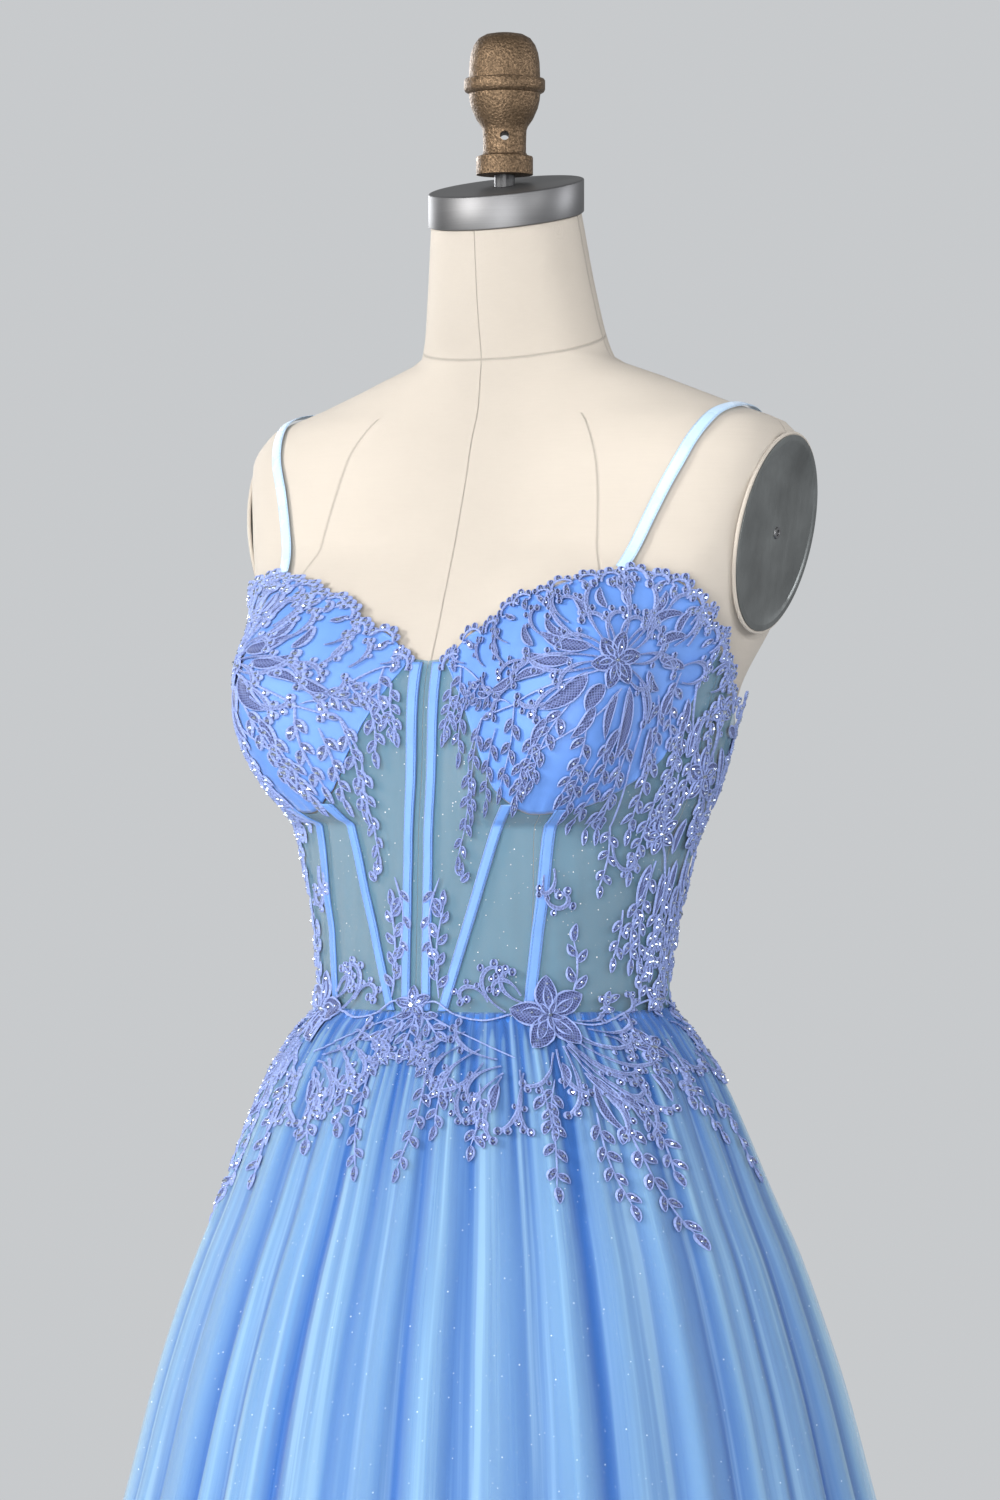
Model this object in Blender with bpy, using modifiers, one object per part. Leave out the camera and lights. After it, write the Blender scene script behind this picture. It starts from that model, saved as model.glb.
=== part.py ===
# Prom dress on a limbless dress form: boned sheer bodice, moulded cups, satin straps,
# and a floor-length gathered tulle skirt over a lining. The form stands on a pole and base.
# Metres, +Z up, the front towards -Y, the wearer's left towards +X, the origin on the floor.

import math
from collections import namedtuple

import bmesh
import bpy
from mathutils import Matrix, Vector
from mathutils.bvhtree import BVHTree

# Driving sizes
WAIST_Z = 1.0870
HEM_Z = 0.012
SEAM = 0.0003
CLOTH = 0.0012
FORM_EASE = 0.0016
PANEL_LIFT = 0.0008
CASING_LIFT = 0.0026
CASING = 0.0011
CUP_LACE_LIFT = 0.0034
SKIN_LIFT = 0.0062
LACE_CLEAR = 0.0007
LACE = 0.0012

# The form's bust rises under the cups, and stays a little inside them
CUP_BUST = 0.048
FORM_BUST = 0.042
BUST_ANGLE = math.radians(43.0)
BUST_SPREAD = math.radians(14.0)
BUST_Z = 1.275
BUST_BELOW = 0.072
BUST_ABOVE = 0.100

# Bodice pieces meet on lines a whole number of steps from the centre front
STEP = math.radians(4.1)
CUP_FIRST, CUP_LAST = 2, 20
PRINCESS_SEAM = 10
SIDE_SEAM = 21
BACK_STEPS = 12
PANEL_ROWS = 8
CUP_ROWS = 6

NECK_TILT = math.tan(math.radians(13.5))
NECK_TILT_FROM = 1.500
NECK_TOP = 1.5840
FORM_COLUMNS = 40
FORM_RINGS = (0.760, 0.860, 0.960, 1.030, 1.087, 1.120, 1.153, 1.180, 1.204, 1.224, 1.247, 1.275,
              1.305, 1.332, 1.355, 1.380, 1.405, 1.428, 1.446, 1.460, 1.474, 1.486, 1.498, 1.535, NECK_TOP)

CAP_HALF_WIDTH, CAP_HALF_DEPTH, CAP_HEIGHT = 0.051, 0.0435, 0.0215
FINIAL_Y = 0.006
FINIAL_BASE_Z = 1.6125
SPINDLE_RADIUS = 0.0065
FINIAL_HOLE_RADIUS = 0.0029
FINIAL_HOLE_Z = 1.6362
FINIAL_HOLE_TURN = math.radians(29.0)

PLATE_CENTRE = Vector((0.175, 0.036, 1.384))
PLATE_DOWN = Vector((-0.010, -0.0145, -0.0600))
PLATE_HALF_DEPTH = 0.050
PLATE_THICKNESS = 0.0025
PLATE_CUT_FROM_Z = 1.27

POLE_RADIUS = 0.014
SOCKET_RADIUS, SOCKET_TOP_Z = 0.026, 0.060
BASE_TOP_Z = 0.023

STRAP_WIDTH = 0.008
STRAP_LIFT = 0.0010
STRAP_THICKNESS = 0.0010
STRAP_STATIONS = 32
STRAP_FRONT, STRAP_BACK = math.radians(53.5), math.radians(142.0)
STRAP_CREST = Vector((0.1560, 0.0150, 1.4620))
STRAP_BEHIND = Vector((0.1330, 0.0850, 1.4200))
FINE_COLUMNS, FINE_ROWS = 144, 100

CASING_ROWS = 9
LACE_CROWN = 0.0006
BODICE_RADIUS = 0.12

HALF_FOLDS = 16
LINING_HALF_FOLDS = 5
COLUMNS_PER_FOLD = 4
SKIRT_RINGS = (WAIST_Z - SEAM, 1.060, 1.025, 0.975, 0.890, 0.400, HEM_Z)
LINING_HEM_RISE = 0.006
TULLE_TOP_WALL, TULLE_HEM_WALL = 0.0012, 0.0020
LINING_GAP = 0.0006
LINING_FOLD_SHARE = 0.5

# One row for each section of the form: half width, then depth to the front and to the back
# of the section's centre, the centre's Y, and how square the section is (2 is an ellipse)
FormRow = namedtuple("FormRow", "z half_width front back centre square")
FORM = (
    FormRow(0.760, 0.150, 0.105, 0.115, 0.005, 2.2),
    FormRow(0.860, 0.172, 0.115, 0.125, 0.008, 2.2),
    FormRow(0.900, 0.175, 0.118, 0.130, 0.010, 2.2),
    FormRow(0.980, 0.162, 0.112, 0.118, 0.004, 2.2),
    FormRow(1.040, 0.136, 0.103, 0.105, -0.003, 2.1),
    FormRow(1.087, 0.112, 0.097, 0.095, -0.008, 2.0),
    FormRow(1.133, 0.115, 0.098, 0.096, -0.006, 2.0),
    FormRow(1.157, 0.119, 0.098, 0.098, -0.005, 2.1),
    FormRow(1.190, 0.127, 0.097, 0.102, -0.005, 2.1),
    FormRow(1.230, 0.141, 0.098, 0.107, 0.000, 2.2),
    FormRow(1.286, 0.150, 0.102, 0.124, 0.008, 2.3),
    FormRow(1.330, 0.165, 0.096, 0.120, 0.018, 2.8),
    FormRow(1.384, 0.181, 0.087, 0.105, 0.030, 3.4),
    FormRow(1.430, 0.188, 0.078, 0.085, 0.036, 3.4),
    FormRow(1.452, 0.180, 0.070, 0.065, 0.036, 2.8),
    FormRow(1.467, 0.144, 0.061, 0.056, 0.032, 2.2),
    FormRow(1.484, 0.100, 0.055, 0.052, 0.028, 2.0),
    FormRow(1.498, 0.066, 0.049, 0.051, 0.023, 2.0),
    FormRow(1.533, 0.058, 0.047, 0.047, 0.016, 2.0),
    FormRow(1.584, 0.051, 0.043, 0.043, 0.008, 2.0),
)

# The skirt's outer surface, over the tops of its folds, and the depth of the folds
SkirtRow = namedtuple("SkirtRow", "z half_width half_depth centre fold")
SKIRT = (
    SkirtRow(0.012, 0.462, 0.452, 0.000, 0.024),
    SkirtRow(0.400, 0.348, 0.335, 0.000, 0.019),
    SkirtRow(0.785, 0.240, 0.226, -0.001, 0.012),
    SkirtRow(0.850, 0.223, 0.208, -0.002, 0.0105),
    SkirtRow(0.900, 0.207, 0.191, -0.003, 0.009),
    SkirtRow(0.935, 0.194, 0.178, -0.003, 0.008),
    SkirtRow(0.965, 0.181, 0.165, -0.004, 0.007),
    SkirtRow(1.010, 0.163, 0.146, -0.006, 0.005),
    SkirtRow(1.045, 0.147, 0.129, -0.007, 0.003),
    SkirtRow(1.068, 0.1315, 0.1160, -0.008, 0.0018),
    SkirtRow(1.087, 0.1180, 0.1030, -0.008, 0.0007),
)

# Lines drawn on the form, by the angle from the centre front in degrees
LineRow = namedtuple("LineRow", "angle z")
NECKLINE = (
    LineRow(0.0, 1.3035), LineRow(8.0, 1.306), LineRow(14.0, 1.318), LineRow(23.0, 1.329),
    LineRow(29.0, 1.343), LineRow(37.0, 1.348), LineRow(46.0, 1.356), LineRow(56.0, 1.359),
    LineRow(65.5, 1.350), LineRow(74.6, 1.3275), LineRow(82.4, 1.312), LineRow(93.0, 1.293),
    LineRow(108.0, 1.266), LineRow(140.0, 1.255), LineRow(180.0, 1.250),
)
UNDER_CUP = (
    LineRow(8.2, 1.3020), LineRow(11.3, 1.2930), LineRow(17.3, 1.271), LineRow(22.0, 1.2485),
    LineRow(28.0, 1.223), LineRow(39.6, 1.209), LineRow(52.0, 1.214), LineRow(64.0, 1.230),
    LineRow(70.0, 1.240), LineRow(74.0, 1.254), LineRow(78.0, 1.278), LineRow(82.0, 1.308),
)

# Boning casings: from the top to the waist, with the width of the tape
CasingRow = namedtuple("CasingRow", "name top_angle top_z foot_angle foot_z width")
CASINGS = (
    CasingRow("placket_casing", 4.3, 1.3020, 4.4, 1.0880, 0.0068),
    CasingRow("diagonal_casing", 30.0, 1.1900, 10.6, 1.0880, 0.0070),
    CasingRow("side_casing", 46.0, 1.1950, 41.0, 1.0880, 0.0080),
)

# Sprays of leaves on the bodice and skirt: stem from the first to the last point
SprayRow = namedtuple("SprayRow", "name angle z end_angle end_z half_width leaves lift")
BODICE_SPRAYS = (
    SprayRow("hanging_spray", 25.0, 1.268, 18.5, 1.172, 0.015, 4, 0.0030),
    SprayRow("side_spray", 60.0, 1.236, 62.0, 1.150, 0.015, 4, 0.0042),
    SprayRow("back_spray", 106.0, 1.238, 140.0, 1.228, 0.016, 4, 0.0026),
)
SKIRT_SPRAYS = (
    SprayRow("skirt_spray_1", 9.0, 1.060, 11.5, 0.978, 0.016, 4, LACE_CLEAR),
    SprayRow("skirt_spray_2", 34.0, 1.046, 42.0, 0.976, 0.018, 4, LACE_CLEAR),
    SprayRow("skirt_spray_3", 54.0, 1.046, 61.5, 0.940, 0.021, 5, LACE_CLEAR),
    SprayRow("skirt_spray_4", 84.0, 1.062, 104.0, 0.977, 0.020, 4, LACE_CLEAR),
    SprayRow("skirt_spray_5", 128.0, 1.062, 140.0, 0.985, 0.019, 4, LACE_CLEAR),
)

# Flowers: centre, half width and half height of the outline, its lobes and their depth
FlowerRow = namedtuple("FlowerRow", "name angle z half_width half_height lobes notch")
CUP_FLOWER = FlowerRow("cup_flower", 51.0, 1.305, 0.054, 0.055, 9, 0.10)
SIDE_FLOWER = FlowerRow("side_flower", 91.0, 1.218, 0.034, 0.060, 7, 0.16)
WAIST_FLOWER = FlowerRow("waist_flower", 47.0, 1.086, 0.031, 0.030, 5, 0.28)
WAIST_SCROLL = FlowerRow("waist_scroll", 22.0, 1.082, 0.022, 0.017, 4, 0.25)
CENTRE_FLOWER = FlowerRow("waist_centre_flower", 0.0, 1.084, 0.013, 0.014, 5, 0.25)
WAIST_SIDE_FLOWER = FlowerRow("waist_side_flower", 76.0, 1.090, 0.026, 0.020, 5, 0.25)

# Turned profiles, radius and height, from the top down
TurnRow = namedtuple("TurnRow", "radius z")
FINIAL = (
    TurnRow(0.0110, 0.0895), TurnRow(0.0180, 0.0850), TurnRow(0.0220, 0.0740),
    TurnRow(0.0226, 0.0610), TurnRow(0.0257, 0.0600), TurnRow(0.0257, 0.0530),
    TurnRow(0.0224, 0.0510), TurnRow(0.0210, 0.0420), TurnRow(0.0140, 0.0300),
    TurnRow(0.0136, 0.0130), TurnRow(0.0180, 0.0115), TurnRow(0.0180, 0.0000),
)
BASE = (
    TurnRow(0.0420, BASE_TOP_Z), TurnRow(0.1900, 0.0130), TurnRow(0.2000, 0.0060),
    TurnRow(0.2000, 0.0000),
)

COLOURS = {
    "form_cover": ((0.86, 0.80, 0.70), 0.85, 0.0),
    "steel": ((0.62, 0.62, 0.61), 0.32, 1.0),
    "bronze": ((0.30, 0.20, 0.11), 0.50, 0.9),
    "plate": ((0.12, 0.13, 0.13), 0.42, 0.3),
    "stand": ((0.10, 0.10, 0.11), 0.45, 0.2),
    "tulle": ((0.24, 0.51, 0.92), 0.70, 0.0),
    "lining": ((0.13, 0.36, 0.80), 0.60, 0.0),
    "cup": ((0.17, 0.38, 0.82), 0.55, 0.0),
    "net": ((0.22, 0.34, 0.38), 0.65, 0.0),
    "casing": ((0.20, 0.40, 0.84), 0.45, 0.0),
    "strap": ((0.45, 0.68, 0.95), 0.30, 0.0),
    "lace": ((0.27, 0.31, 0.60), 0.70, 0.0),
}


class Curve:
    """A smooth curve through one column of a table, which never overshoots its rows."""

    def __init__(self, rows, along, value):
        self.at = [getattr(row, along) for row in rows]
        self.value = [getattr(row, value) for row in rows]
        rises = [(self.value[i + 1] - self.value[i]) / (self.at[i + 1] - self.at[i])
                 for i in range(len(rows) - 1)]
        self.slope = [rises[0]]
        for below, above in zip(rises, rises[1:]):
            level = below * above <= 0.0
            self.slope.append(0.0 if level else 2.0 * below * above / (below + above))
        self.slope.append(rises[-1])

    def __call__(self, x):
        x = min(max(x, self.at[0]), self.at[-1])
        i = 0
        while i < len(self.at) - 2 and x > self.at[i + 1]:
            i += 1
        span = self.at[i + 1] - self.at[i]
        t = (x - self.at[i]) / span
        return ((2 * t ** 3 - 3 * t ** 2 + 1) * self.value[i]
                + (t ** 3 - 2 * t ** 2 + t) * span * self.slope[i]
                + (3 * t ** 2 - 2 * t ** 3) * self.value[i + 1]
                + (t ** 3 - t ** 2) * span * self.slope[i + 1])


form_at = {name: Curve(FORM, "z", name) for name in FormRow._fields[1:]}
skirt_at = {name: Curve(SKIRT, "z", name) for name in SkirtRow._fields[1:]}
neckline_at = Curve(NECKLINE, "angle", "z")
under_cup_at = Curve(UNDER_CUP, "angle", "z")


def outward(angle):
    """Level direction at an angle from the centre front, towards the wearer's left."""
    return Vector((math.sin(angle), -math.cos(angle), 0.0))


def form_point(angle, z, bust=CUP_BUST):
    """Point of the form's surface, with the given rise of the bust."""
    half_width = form_at["half_width"](z)
    depth = form_at["front"](z) if math.cos(angle) > 0.0 else form_at["back"](z)
    square = form_at["square"](z)
    reach = (abs(math.sin(angle) / half_width) ** square
             + abs(math.cos(angle) / depth) ** square) ** (-1.0 / square)
    above = z - BUST_Z
    if above < 0.0:
        height = max(0.0, 1.0 - (above / BUST_BELOW) ** 2) ** 0.8
    else:
        height = max(0.0, 1.0 - (above / BUST_ABOVE) ** 2) ** 1.2
    aside = (abs(math.atan2(math.sin(angle), math.cos(angle))) - BUST_ANGLE) / BUST_SPREAD
    reach += bust * height * math.exp(-0.5 * aside ** 2)
    return Vector((0.0, form_at["centre"](z), z)) + outward(angle) * reach


def on_form(angle, z, lift):
    """Point that lies a true distance off the form, moved out level so that seams stay apart."""
    turn, rise = 0.01, 0.002
    across = form_point(angle + turn, z) - form_point(angle - turn, z)
    upward = form_point(angle, z + rise) - form_point(angle, z - rise)
    facing = max(0.6, across.cross(upward).normalized().dot(outward(angle)))
    return form_point(angle, z) + outward(angle) * (lift / facing)


def on_skirt(angle, z, lift):
    """Point off the skirt's outer surface, over the tops of its folds."""
    reach = 1.0 / math.hypot(math.sin(angle) / skirt_at["half_width"](z),
                             math.cos(angle) / skirt_at["half_depth"](z))
    rise = 0.004
    flare = (skirt_at["half_width"](z - rise) - skirt_at["half_width"](z + rise)) / (2 * rise)
    centre = Vector((0.0, skirt_at["centre"](z), z))
    return centre + outward(angle) * (reach + lift * math.hypot(1.0, flare))


def on_skin(angle, z, lift):
    """Point off the outermost cloth: the boned bodice above the waist, the skirt below it."""
    if z > WAIST_Z:
        return on_form(angle, z, SKIN_LIFT + lift)
    return on_skirt(angle, z, lift)


def new_object(name, bm, collection, colour, smooth=math.radians(35.0)):
    """Mesh object from a bmesh, facing out, with its own material, smooth but for sharp edges."""
    bm.normal_update()
    bmesh.ops.recalc_face_normals(bm, faces=bm.faces)
    if bm.calc_volume(signed=True) < 0.0:
        bmesh.ops.reverse_faces(bm, faces=bm.faces)
    mesh = bpy.data.meshes.new(name)
    bm.to_mesh(mesh)
    bm.free()
    mesh.shade_smooth()
    mesh.set_sharp_from_angle(angle=smooth)
    piece = bpy.data.objects.new(name, mesh)
    collection.objects.link(piece)
    rgb, roughness, metallic = COLOURS[colour]
    material = bpy.data.materials.new(name + "_finish")
    material.use_nodes = True
    shader = material.node_tree.nodes["Principled BSDF"]
    shader.inputs["Base Color"].default_value = (*rgb, 1.0)
    shader.inputs["Roughness"].default_value = roughness
    shader.inputs["Metallic"].default_value = metallic
    mesh.materials.append(material)
    return piece


def flat_grid(columns, rows):
    """Flat pattern whose points run from 0 to the number of columns and of rows."""
    bm = bmesh.new()
    bmesh.ops.create_grid(bm, x_segments=columns, y_segments=rows, size=0.5)
    for vert in bm.verts:
        vert.co = ((vert.co.x + 0.5) * columns, (vert.co.y + 0.5) * rows, 0.0)
    return bm


def flat_disc(columns, rings):
    """Flat round pattern of radius 1."""
    bm = flat_grid(columns, rings)
    for vert in bm.verts:
        turn, radius = math.tau * vert.co.x / columns, vert.co.y / rings
        vert.co = (radius * math.cos(turn), radius * math.sin(turn), 0.0)
    bmesh.ops.remove_doubles(bm, verts=bm.verts, dist=1e-5)
    return bm


def sewn_wall(name, bm, inner, outer, collection, colour):
    """Cloth wall: a flat pattern laid on its inner surface, with a copy on its outer one."""
    plain = {vert for vert in bm.verts}
    bmesh.ops.extrude_face_region(bm, geom=bm.faces[:], use_keep_orig=True)
    for vert in bm.verts:
        place = inner if vert in plain else outer
        vert.co = place(vert.co.x, vert.co.y)
    return new_object(name, bm, collection, colour)


def turned(name, rows, centre, collection, colour, steps=24):
    """Solid of revolution: a profile at +X from the top down, closed to the axis by Screw."""
    bm = bmesh.new()
    profile = [TurnRow(0.0, rows[0].z), *rows, TurnRow(0.0, rows[-1].z)]
    verts = [bm.verts.new((row.radius, 0.0, row.z)) for row in profile]
    for first, second in zip(verts, verts[1:]):
        bm.edges.new((first, second))
    piece = new_object(name, bm, collection, colour)
    piece.location = centre
    screw = piece.modifiers.new("turn", "SCREW")
    screw.steps = steps
    screw.render_steps = steps
    screw.use_merge_vertices = True
    screw.merge_threshold = 0.00001
    screw.use_normal_calculate = False
    return piece


def sides(rows):
    """Every row twice: on the wearer's left (+1) and on the right (-1)."""
    return [(row, name, sign) for row in rows for name, sign in (("left", 1), ("right", -1))]


def dress_form(collection):
    """Torso and neck of the form, flat where the arm plates sit and at the bottom."""
    bm = flat_grid(FORM_COLUMNS, len(FORM_RINGS) - 1)
    for vert in bm.verts:
        z = FORM_RINGS[round(vert.co.y)]
        angle = math.tau * vert.co.x / FORM_COLUMNS
        point = form_point(angle, z, FORM_BUST) - outward(angle) * FORM_EASE
        lean = min(1.0, max(0.0, (z - NECK_TILT_FROM) / (NECK_TOP - NECK_TILT_FROM)))
        point.z += lean * NECK_TILT * (point.y - form_at["centre"](z))
        vert.co = point
    bmesh.ops.remove_doubles(bm, verts=bm.verts, dist=1e-5)
    bmesh.ops.holes_fill(bm, edges=[edge for edge in bm.edges if edge.is_boundary], sides=0)
    for sign in (1, -1):
        centre, normal = plate_plane(sign)
        faces = [f for f in bm.faces if PLATE_CUT_FROM_Z < f.calc_center_median().z < 1.5]
        near = set(faces) | {e for f in faces for e in f.edges} | {v for f in faces for v in f.verts}
        cut = bmesh.ops.bisect_plane(bm, geom=list(near), plane_co=centre, plane_no=normal,
                                     clear_outer=True, dist=1e-6)
        rim = [part for part in cut["geom_cut"] if isinstance(part, bmesh.types.BMEdge)]
        bmesh.ops.edgeloop_fill(bm, edges=rim)
    return new_object("form_torso", bm, collection, "form_cover")


def plate_axes(sign):
    """Half axes of an arm plate, downwards and backwards, and its outward normal."""
    down = Vector((PLATE_DOWN.x * sign, PLATE_DOWN.y, PLATE_DOWN.z))
    back = Vector((0.0, 1.0, 0.0))
    back -= down.normalized() * back.dot(down.normalized())
    normal = back.cross(down).normalized()
    if normal.x * sign < 0.0:
        normal.negate()
    return down, back.normalized() * PLATE_HALF_DEPTH, normal


def plate_plane(sign):
    centre = Vector((PLATE_CENTRE.x * sign, PLATE_CENTRE.y, PLATE_CENTRE.z))
    return centre, plate_axes(sign)[2]


def arm_plates(collection):
    """Oval metal plates that close the arm ends of the form."""
    for side, sign in (("left", 1), ("right", -1)):
        centre, normal = plate_plane(sign)
        down, back, _ = plate_axes(sign)
        bm = bmesh.new()
        bmesh.ops.create_cone(bm, cap_ends=True, segments=36, radius1=1.0, radius2=0.97, depth=1.0)
        for vert in bm.verts:
            out = SEAM + (vert.co.z + 0.5) * PLATE_THICKNESS
            vert.co = centre + back * vert.co.x + down * vert.co.y + normal * out
        new_object("arm_plate_" + side, bm, collection, "plate")


def cap_height(y, above):
    """Height of the leaning neck top at a depth, plus a distance along the cap's axis."""
    return NECK_TOP + NECK_TILT * (y - form_at["centre"](NECK_TOP)) + above


def neck_hardware(collection, cutters):
    """Brushed cap on the neck, the spindle through it and the cast finial on the spindle."""
    bm = bmesh.new()
    bmesh.ops.create_cone(bm, cap_ends=True, segments=36, radius1=1.0, radius2=1.0, depth=1.0)
    rims = [edge for edge in bm.edges if abs(edge.verts[0].co.z - edge.verts[1].co.z) < 1e-6]
    bmesh.ops.bevel(bm, geom=rims, offset=0.035, affect="EDGES", segments=1, profile=0.5, material=-1)
    for vert in bm.verts:
        y = form_at["centre"](NECK_TOP) + vert.co.y * CAP_HALF_DEPTH
        above = SEAM + (vert.co.z + 0.5) * CAP_HEIGHT
        vert.co = (vert.co.x * CAP_HALF_WIDTH, y, cap_height(y, above))
    new_object("neck_cap", bm, collection, "steel")

    bm = bmesh.new()
    bmesh.ops.create_cone(bm, cap_ends=True, segments=20, radius1=SPINDLE_RADIUS,
                          radius2=SPINDLE_RADIUS, depth=1.0)
    for vert in bm.verts:
        y = vert.co.y + FINIAL_Y
        seat = cap_height(y, SEAM + CAP_HEIGHT + SEAM)
        vert.co = (vert.co.x, y, FINIAL_BASE_Z - SEAM if vert.co.z > 0.0 else seat)
    new_object("finial_spindle", bm, collection, "stand")

    finial = turned("finial", FINIAL, (0.0, FINIAL_Y, FINIAL_BASE_Z), collection, "bronze")
    bm = bmesh.new()
    turn = Matrix.Rotation(FINIAL_HOLE_TURN, 4, "Z") @ Matrix.Rotation(math.pi / 2, 4, "X")
    place = Matrix.Translation((0.0, FINIAL_Y, FINIAL_HOLE_Z)) @ turn
    bmesh.ops.create_cone(bm, cap_ends=True, segments=16, radius1=FINIAL_HOLE_RADIUS,
                          radius2=FINIAL_HOLE_RADIUS, depth=0.06, matrix=place)
    drill = new_object("finial_drill", bm, cutters, "stand")
    drill.hide_render = True
    drill.display_type = "WIRE"
    hole = finial.modifiers.new("pin_hole", "BOOLEAN")
    hole.operation = "DIFFERENCE"
    hole.object = drill


def stand(collection):
    """Plain round base, the socket on it and the pole that carries the form, under the skirt."""
    turned("stand_base", BASE, (0.0, 0.0, 0.0), collection, "stand")
    for name, radius, low, high in (
            ("stand_socket", SOCKET_RADIUS, BASE_TOP_Z + SEAM, SOCKET_TOP_Z),
            ("stand_pole", POLE_RADIUS, SOCKET_TOP_Z + SEAM, FORM[0].z - SEAM)):
        bm = bmesh.new()
        bmesh.ops.create_cone(bm, cap_ends=True, segments=24, radius1=radius, radius2=radius,
                              depth=high - low,
                              matrix=Matrix.Translation((0.0, 0.0, (low + high) / 2)))
        new_object(name, bm, collection, "stand")


def seam_gap(line, angle):
    """Half of the gap at a sloping seam, measured in height."""
    middle = math.degrees(angle)
    slope = (line(middle + 1.0) - line(middle - 1.0)) / (math.radians(2.0) * BODICE_RADIUS)
    return SEAM / 2 * math.hypot(1.0, slope)


def bodice_piece(name, sign, angles, bottom, top, rows, collection, colour):
    """One cut piece of the bodice between two lines, on both faces of its cloth."""
    def place(lift):
        def at(column, row):
            index = round(column)
            angle = angles[index]
            if index in (0, len(angles) - 1):
                inset = SEAM / 2 / BODICE_RADIUS
                angle += inset if index == 0 else -inset
            low, high = bottom(angles[index]), top(angles[index])
            return on_form(sign * angle, low + (high - low) * row / rows, lift)
        return at
    bm = flat_grid(len(angles) - 1, rows)
    sewn_wall(name, bm, place(PANEL_LIFT), place(PANEL_LIFT + CLOTH), collection, colour)


def neckline_z(angle):
    return neckline_at(math.degrees(angle))


def cup_bottom(angle):
    return under_cup_at(math.degrees(angle)) + seam_gap(under_cup_at, angle)


def panel_top(angle):
    """Top of a panel: under the cup where there is one, else the neckline."""
    if CUP_FIRST * STEP - 1e-6 <= angle <= CUP_LAST * STEP + 1e-6:
        return under_cup_at(math.degrees(angle)) - seam_gap(under_cup_at, angle)
    return neckline_z(angle)


def bodice(collection):
    """Cups, front, side and back panels, from the waist seam to the neckline."""
    side_angle = SIDE_SEAM * STEP
    back = [side_angle + (math.pi - side_angle) * i / BACK_STEPS for i in range(BACK_STEPS + 1)]

    def steps(first, last):
        return [k * STEP for k in range(first, last + 1)]

    def waist(_angle):
        return WAIST_Z

    for side, sign in (("left", 1), ("right", -1)):
        bodice_piece("cup_" + side, sign, steps(CUP_FIRST, CUP_LAST), cup_bottom, neckline_z,
                     CUP_ROWS, collection, "cup")
        for name, angles in (("front_panel", steps(0, PRINCESS_SEAM)),
                             ("side_panel", steps(PRINCESS_SEAM, SIDE_SEAM)),
                             ("back_panel", back)):
            bodice_piece(name + "_" + side, sign, angles, waist, panel_top, PANEL_ROWS,
                         collection, "net")


def casings(collection):
    """Boning casings: tapes sewn on the panels, a pair at the centre and two on each side."""
    for row, side, sign in sides(CASINGS):
        def place(lift, row=row, sign=sign):
            def at(side_of_tape, along):
                t = along / CASING_ROWS
                z = row.foot_z + (row.top_z - row.foot_z) * t
                angle = math.radians(row.foot_angle + (row.top_angle - row.foot_angle) * t)
                lean = (form_point(math.radians(row.top_angle), row.top_z)
                        - form_point(math.radians(row.foot_angle), row.foot_z)).normalized().z
                reach = math.hypot(*form_point(angle, z).xy)
                angle += (side_of_tape - 0.5) * row.width / reach / lean
                return on_form(sign * angle, z, lift)
            return at
        sewn_wall(row.name + "_" + side, flat_grid(1, CASING_ROWS), place(CASING_LIFT),
                  place(CASING_LIFT + CASING), collection, "casing")


def fine_form(low, high):
    """Closely sampled surface of the form between two heights, to lay narrow things on."""
    bm = flat_grid(FINE_COLUMNS, FINE_ROWS)
    for vert in bm.verts:
        z = low + (high - low) * vert.co.y / FINE_ROWS
        vert.co = form_point(math.tau * vert.co.x / FINE_COLUMNS, z)
    bm.normal_update()
    surface = BVHTree.FromBMesh(bm)
    bm.free()
    return surface


def straps(collection):
    """Narrow satin straps, from the cups over the shoulders to the back neckline."""
    surface = fine_form(1.24, 1.52)
    front, back = (on_form(angle, neckline_z(angle) + 3 * SEAM, STRAP_LIFT)
                   for angle in (STRAP_FRONT, STRAP_BACK))
    guide = (front, front.lerp(STRAP_CREST, 0.5) + Vector((0, -0.010, 0.004)), STRAP_CREST,
             STRAP_BEHIND, STRAP_BEHIND.lerp(back, 0.5) + Vector((0, 0.02, 0)), back)

    def along(t):
        """Smooth path through the guide's points."""
        place = t * (len(guide) - 1)
        i = min(int(place), len(guide) - 2)
        t = place - i
        a, b, c, d = (guide[min(max(k, 0), len(guide) - 1)] for k in (i - 1, i, i + 1, i + 2))
        return 0.5 * (2 * b + (c - a) * t + (2 * a - 5 * b + 4 * c - d) * t * t
                      + (3 * b - a - 3 * c + d) * t ** 3)

    stations = [along(i / STRAP_STATIONS) for i in range(STRAP_STATIONS + 1)]
    seats = [surface.find_nearest(point) for point in stations]
    core = Vector((0.0, form_at["centre"](PLATE_CENTRE.z), PLATE_CENTRE.z))
    normals = [normal if normal.dot(point - core) > 0.0 else -normal
               for point, normal, _, _ in seats]
    seats = [front] + [seat[0] + n * STRAP_LIFT for seat, n in zip(seats, normals)][1:-1] + [back]

    for side, sign in (("left", 1), ("right", -1)):
        def place(lift, sign=sign):
            def at(across, station):
                i = round(station)
                run = seats[min(i + 1, len(seats) - 1)] - seats[max(i - 1, 0)]
                if i in (0, len(seats) - 1):
                    run = Vector((0.0, 0.0, 1.0))
                aside = run.cross(normals[i]).normalized() * (across - 0.5) * STRAP_WIDTH
                point = seats[i] + aside + normals[i] * lift
                return Vector((point.x * sign, point.y, point.z))
            return at
        sewn_wall("strap_" + side, flat_grid(1, STRAP_STATIONS), place(0.0),
                  place(STRAP_THICKNESS), collection, "strap")


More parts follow.
